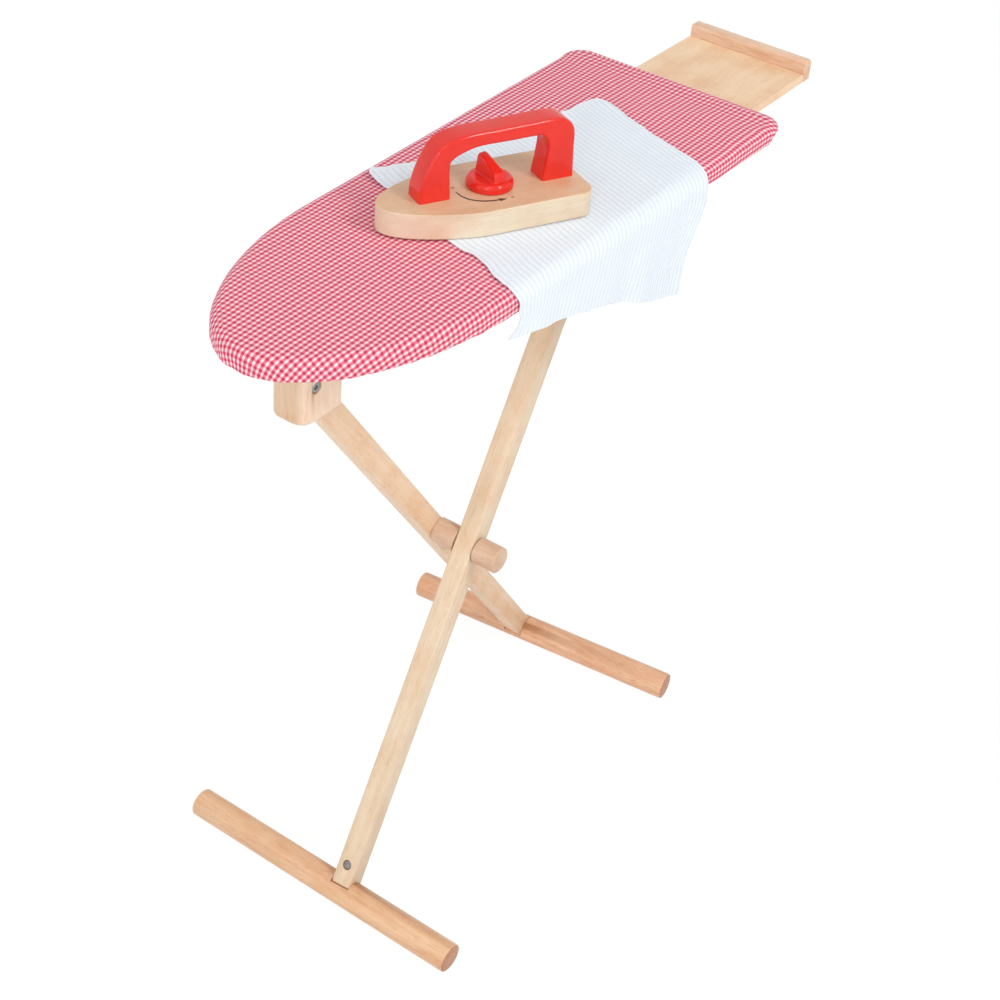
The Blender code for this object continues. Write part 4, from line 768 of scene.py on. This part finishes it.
def make_iron_body(material):
    """The iron's block: a pointed tip that widens in a curve, square sides and a round-cornered heel."""
    side = []
    for k in range(1, 41):
        s = IRON_RUN * (1 - math.cos(math.pi / 2 * k / 40))
        side.append((IRON_WIDE / 2 * math.sqrt(max(0, 1 - (1 - s / IRON_RUN) ** 1.35)), s))
    for k in range(13):
        a = math.pi / 2 * k / 12
        side.append((IRON_WIDE / 2 - IRON_ROUND * (1 - math.cos(a)),
                     IRON_LONG - IRON_ROUND * (1 - math.sin(a))))
    outline = [(0, 0, 0)] + [(x, y, 0) for x, y in side] + [(-x, y, 0) for x, y in reversed(side)]
    body = plate("iron-body-block", outline, (0, 0, IRON_HIGH))
    top = IRON_HIGH - 0.0001
    ease_edges(body, lambda a, b: (a.z > top) == (b.z > top), IRON_EASED, 6)
    return settle(body, "iron", material, IRON, ("iron_body",))


# the handle's outer and inner line, as shares of its length and height
HANDLE_OVER = ((0.0, 0.0), (0.008, 0.222), (0.045, 0.512), (0.111, 0.813), (0.193, 0.930), (0.297, 0.977),
               (0.488, 0.985), (0.706, 0.997), (0.848, 1.0), (0.927, 0.950), (0.980, 0.780),
               (0.990, 0.425), (1.0, 0.0))
HANDLE_UNDER = ((0.790, 0.0), (0.806, 0.278), (0.815, 0.565), (0.790, 0.715), (0.745, 0.764), (0.560, 0.762),
                (0.385, 0.762), (0.290, 0.717), (0.211, 0.628), (0.188, 0.500), (0.199, 0.0))
# the dial fin's side, as shares of the disc's radius and the fin's height
FIN_SIDE = ((-0.70, 0.10), (-0.66, 0.90), (-0.58, 1.0), (-0.44, 0.985), (0.10, 0.790), (0.44, 0.665),
            (0.62, 0.600), (0.70, 0.42), (0.74, 0.10))


def make_handle(material):
    """The red handle, sawn from a board and rounded along all its edges but those of its feet."""
    loop = smooth_line(HANDLE_OVER, 8) + smooth_line(HANDLE_UNDER, 8)
    base = IRON_HIGH + 0.0001
    outline = [(-HANDLE_WIDE / 2, HANDLE_FROM + HANDLE_LONG * p.x, base + HANDLE_HIGH * p.y) for p in loop]
    handle = plate("red-iron-handle", outline, (HANDLE_WIDE, 0, 0))
    low = base + 0.00005
    ease_edges(handle, lambda a, b: abs(a.x - b.x) < MM and max(a.z, b.z) > low, HANDLE_EASED, 8)
    return settle(handle, "iron", material, IRON, ("iron_handle",), angle=50)


def make_dial(material):
    """The dial with its thick fin, whose foot runs softly into the disc as the lacquer fills it."""
    bpy.ops.object.select_all(action="DESELECT")
    bpy.ops.mesh.primitive_cylinder_add(vertices=96, radius=DIAL_R, depth=DIAL_THICK,
                                        location=(0, 0, DIAL_FLOAT))
    dial = bpy.context.object
    dial.name = "red-dial-disc"
    bpy.ops.object.transform_apply(location=True)
    ease_edges(dial, lambda a, b: min(a.z, b.z) > DIAL_THICK - 0.0006, DIAL_EASED, 8)
    outline = [(u * DIAL_R, -FIN_WIDE / 2, v * FIN_HIGH + FIN_FOOT) for u, v in FIN_SIDE]
    fin = plate("fin", outline, (0, FIN_WIDE, 0))
    for vert in fin.data.vertices:
        vert.co.y *= (1 - 0.42 * min(1, vert.co.z / FIN_HIGH)) * (1 + 0.15 * vert.co.x / DIAL_R)
    ease_edges(fin, lambda a, b: max(a.z, b.z) > FIN_HIGH / 4, FIN_EASED, 4)
    alone(dial)
    join = dial.modifiers.new("fin", "BOOLEAN")
    join.operation = "UNION"
    join.object = fin
    bpy.ops.object.modifier_apply(modifier=join.name)
    bpy.data.objects.remove(fin)
    skin = dial.modifiers.new("lacquer skin", "REMESH")
    skin.mode = "VOXEL"
    skin.voxel_size = LACQUER_GRAIN
    bpy.ops.object.modifier_apply(modifier=skin.name)
    flow = dial.modifiers.new("lacquer flow", "SMOOTH")
    flow.factor = 0.5
    flow.iterations = 14
    bpy.ops.object.modifier_apply(modifier=flow.name)
    return settle(dial, "dial", material, DIAL, ("iron_dial",), angle=70)


# the arrow's middle line on the iron's top, in mm from the iron's tip, and its head
ARROW = ((1.6, 56.3), (8.3, 57.4), (13.7, 60.5), (17.6, 65.7), (19.9, 71.9), (20.7, 77.4))
ARROW_HEAD, ARROW_TIP, ARROW_HALF = Vector((20.9, 79.0)), Vector((21.2, 84.0)), 2.0
# the faint marks past its ends, in mm: place and radius
ARROW_DOTS = ((-4.6, 57.0, 1.5), (20.6, 88.4, 1.2))
INK_THICK, FAINT_THICK = 0.00012, 0.00010


def make_arrow(ink, faint_ink):
    """The stamped arrow that curves round the dial, thin at its start, with a faint mark past each end."""
    line = smooth_line([(x, y, 0) for x, y in ARROW], 8) + [ARROW_HEAD.to_3d()]
    left, right = [], []
    for k, point in enumerate(line):
        near, far = line[max(0, k - 1)], line[min(len(line) - 1, k + 1)]
        across = Vector((far.y - near.y, near.x - far.x, 0)).normalized()
        wide = 0.35 + 0.35 * min(1, k / 12)
        left.append(point - across * wide)
        right.append(point + across * wide)
    ahead = ARROW_TIP - ARROW_HEAD
    across = Vector((ahead.y, -ahead.x)).normalized() * ARROW_HALF
    barb = Vector((0.1, 0.8))
    head = [ARROW_HEAD + across - barb, ARROW_TIP, ARROW_HEAD - across - barb]
    loop = right + [p.to_3d() for p in head] + left[::-1]
    outline = [(p.x * MM, p.y * MM, IRON_HIGH) for p in loop]
    arrow = plate("stamped-arrow", outline, (0, 0, INK_THICK))
    settle(arrow, "iron", ink, IRON)
    for number, (x, y, r) in enumerate(ARROW_DOTS):
        dots = [((x + r * math.cos(t) * 0.8) * MM, (y + r * math.sin(t)) * MM, IRON_HIGH)
                for t in (math.pi * k / 12 for k in range(24))]
        dot = plate(f"stamped-dot-{number}", dots, (0, 0, FAINT_THICK))
        settle(dot, "iron", faint_ink, IRON)


# stage and camera

def seen_directly(tree):
    """1 for what the camera, a reflection or a view through a piece sees, 0 for what only lights a piece."""
    ray = step(tree, "ShaderNodeLightPath")
    plain = step(tree, "ShaderNodeMath", {"operation": "MAXIMUM"}, _0=ray.outputs["Is Camera Ray"],
                 _1=ray.outputs["Is Glossy Ray"])
    seen = step(tree, "ShaderNodeMath", {"operation": "MAXIMUM"}, _0=plain.outputs[0],
                _1=ray.outputs["Is Transmission Ray"])
    return seen.outputs[0]


def make_stage():
    """A pale floor that the camera sees as white and that keeps the object's soft shadow."""
    bpy.ops.object.select_all(action="DESELECT")
    bpy.ops.mesh.primitive_plane_add(size=14, location=(0, 0, 0))
    floor = bpy.context.object
    floor.name = "studio-floor"
    made = bpy.data.materials.new("white paper sweep")
    made.use_nodes = True
    tree = made.node_tree
    shader = tree.nodes["Principled BSDF"]
    shader.inputs["Base Color"].default_value = paint("#F4F4F3")
    shader.inputs["Roughness"].default_value = 0.9
    glow = step(tree, "ShaderNodeEmission", Color=(1, 1, 1, 1), Strength=SEEN_FLOOR)
    part = step(tree, "ShaderNodeMath", {"operation": "MULTIPLY"}, _0=seen_directly(tree), _1=0.92)
    mixed = step(tree, "ShaderNodeMixShader", _0=part.outputs[0], _1=shader.outputs[0], _2=glow.outputs[0])
    tree.links.new(mixed.outputs[0], tree.nodes["Material Output"].inputs["Surface"])
    floor.data.materials.append(made)


def make_light():
    """Soft light from all round and four lamps: the narrow ones draw the highlights on the lacquer."""
    world = bpy.data.worlds.new("studio")
    bpy.context.scene.world = world
    world.use_nodes = True
    tree = world.node_tree
    sky = tree.nodes["Background"]
    sky.inputs["Color"].default_value = (1.0, 1.0, 1.0, 1)
    level = step(tree, "ShaderNodeMapRange", Value=seen_directly(tree), _3=ROUND_LIGHT, _4=SEEN_LIGHT)
    tree.links.new(level.outputs[0], sky.inputs["Strength"])
    for name, place, size, power, roll in LAMPS:
        light = bpy.data.lights.new(name, "AREA")
        light.shape = "RECTANGLE"
        light.size, light.size_y = size
        light.energy = power
        lamp = bpy.data.objects.new(name, light)
        bpy.context.scene.collection.objects.link(lamp)
        lamp.location = place
        aim = (LAMP_AIM - Vector(place)).to_track_quat("-Z", "Y")
        lamp.rotation_euler = (aim @ Quaternion((0, 0, 1), math.radians(roll))).to_euler()


def make_camera():
    """The camera at the photograph's place, with its lens and its slight roll."""
    az, el, roll = CAMERA_ROUND, CAMERA_UP, CAMERA_ROLL
    right = Vector((math.cos(az), math.sin(az), 0))
    back = Vector((math.sin(az) * math.cos(el), -math.cos(az) * math.cos(el), math.sin(el)))
    up = back.cross(right)
    across = right * math.cos(roll) + up * math.sin(roll)
    upward = up * math.cos(roll) - right * math.sin(roll)
    camera = bpy.data.objects.new("photo camera", bpy.data.cameras.new("photo camera"))
    bpy.context.scene.collection.objects.link(camera)
    turn = Matrix((across, upward, back)).transposed().to_4x4()
    camera.matrix_world = Matrix.Translation(CAMERA_PLACE) @ turn
    camera.data.lens = CAMERA_LENS
    camera.data.sensor_width = CAMERA_FILM
    bpy.context.scene.camera = camera
    bpy.context.scene.view_settings.view_transform = "Standard"


def leg_turn(foot, top):
    """How a leg's own axes are turned, with Z along it."""
    d = (top - foot).normalized()
    m = Vector((0, d.z, -d.y)).normalized()
    return Matrix((m.cross(d), m, d)).transposed().to_euler()


def make_iron():
    """The toy iron with its handle, dial and stamped arrow."""
    iron_turn = Euler((math.radians(-90), 0, IRON_TURN))
    # painted shade: the top of the iron's block is tinted darker and warmer than its sides, which catch the
    # light
    iron_wood = wood("beech iron block", "#DEC7AB", "#E9DBC1", iron_turn, (0.01, -0.08, 0.54), 8, 120,
                     fleck=0.3, tints=(((0, 0, 1), "#F7E2D2"),))
    make_iron_body(iron_wood)
    make_handle(lacquer("red handle lacquer", "#E83428", "#E02E24"))
    make_dial(lacquer("red dial lacquer", "#EA3226", "#E02A20"))
    make_arrow(print_ink("stamped brown ink", "#3A2A22", "#5E4434"),
               print_ink("faint ink", "#A58468", "#C09A7A"))


def make_frame():
    """The deck, tray and stand in their woods, and every steel fastener. A wood's place is where its figure
    is centred."""
    lie_x = Euler((0, math.radians(90), 0))
    lie_y = Euler((math.radians(-90), 0, 0))
    upright = Euler((0, 0, 0))
    across, grainwise = (0, 1, 0), (1, 0, 0)
    steel = zinc("zinc plated steel", "#87898B", "#ABADAF")
    # painted shade: the barrel nuts' steel is darkened and warmed to stand for the shade in the leg holes
    # they sit in
    painted_shade_nut_steel = zinc("barrel nut steel with painted shade", "#5E5A57", "#8B8682")
    tray_wood = wood("birch plywood", "#EEC69F", "#FADDB9", lie_y, (0.011, 0.2, 0.509), 9, 90, fleck=0.3)
    deck_wood = wood("birch plywood deck", "#D9B184", "#EED2A6", lie_y, (0.03, 0, 0.52), 11, 190, plies=1.6)
    bar_wood = wood("varnished beech bar", "#DDAE8B", "#F2D4BA", lie_x, (0, 0.306, 0.51), 5, 60, fleck=0.6)
    # painted light and shade: the base colours are lifted so the block's sides, in the board's shade, come
    # out pale, and the faces turned along Y are tinted back darker
    block_wood = wood("varnished birch block", "#F0D3B7", "#F9E2CC", upright, (0.004, -0.25, 0.48), 6, 80,
                      fleck=0.4, tints=((across, "#EBE4D8"),))
    hinged_wood = wood("birch leg stock", "#E6C09C", "#F2D4B4", leg_turn(TAIL_FOOT, HINGE), (0, -0.1, 0.25),
                       6, 140, fleck=0.45)
    sliding_wood = wood("birch leg stock 2", "#DEC3A3", "#EBD7BC", leg_turn(NOSE_FOOT, SLIDE_END),
                        (0.02, -0.1, 0.25), 6, 140, fleck=0.4)
    far_foot_wood = wood("beech dowel", "#D8A07C", "#EEC29E", lie_x, (0, 0.004, 0.012), 5, 100, fleck=0.7,
                         tints=((grainwise, "#D3BBAE"),))
    near_foot_wood = wood("pale beech dowel", "#D8A57E", "#EAC39C", lie_x, (0, 0.004, 0.012), 5, 100,
                          fleck=0.6, tints=((grainwise, "#D3BBAE"),))
    cap_wood = wood("grey beech dowel", "#D0A88C", "#DFC4AB", lie_x, (0, 0.004, 0.25), 5, 60, fleck=0.5)
    pieces = (("board", deck_wood, ("board_deck",)), ("board", tray_wood, ("iron_tray",)),
              ("board", bar_wood, ("tray_end_bar",)),
              ("board", block_wood, ("nose_block", "leg_runner_left", "leg_runner_right", "leg_stop")),
              ("board", steel, ("tray_screw_1", "tray_screw_2", "tray_screw_3", "tray_screw_4",
                                "nose_block_screw_1", "nose_block_screw_2", "nose_pivot_bolt",
                                "nose_pivot_sleeve")),
              ("hinged_stand", hinged_wood, ("hinged_leg",)),
              ("sliding_stand", sliding_wood, ("sliding_leg",)),
              ("hinged_stand", far_foot_wood, ("tail_foot",)),
              ("sliding_stand", near_foot_wood, ("nose_foot",)),
              ("hinged_stand", cap_wood, ("pivot_spacer", "pivot_cap")),
              ("hinged_stand", steel, ("tail_foot_bolt", "pivot_insert", "pivot_bolt")),
              ("sliding_stand", steel, ("nose_foot_bolt",)),
              ("hinged_stand", painted_shade_nut_steel, ("tail_barrel_nut",)),
              ("sliding_stand", painted_shade_nut_steel, ("nose_barrel_nut",)),
              ("iron", steel, ("handle_screw_1", "handle_screw_2", "dial_spindle")))
    for body, material, nodes in pieces:
        for node in nodes:
            dressed(node, body, material)


def main():
    cover = make_cover(gingham())
    pad = make_foam(foam())
    cloth = make_cloth(striped_cotton())
    make_iron()
    make_frame()

    make_stage()
    make_light()
    make_camera()


main()
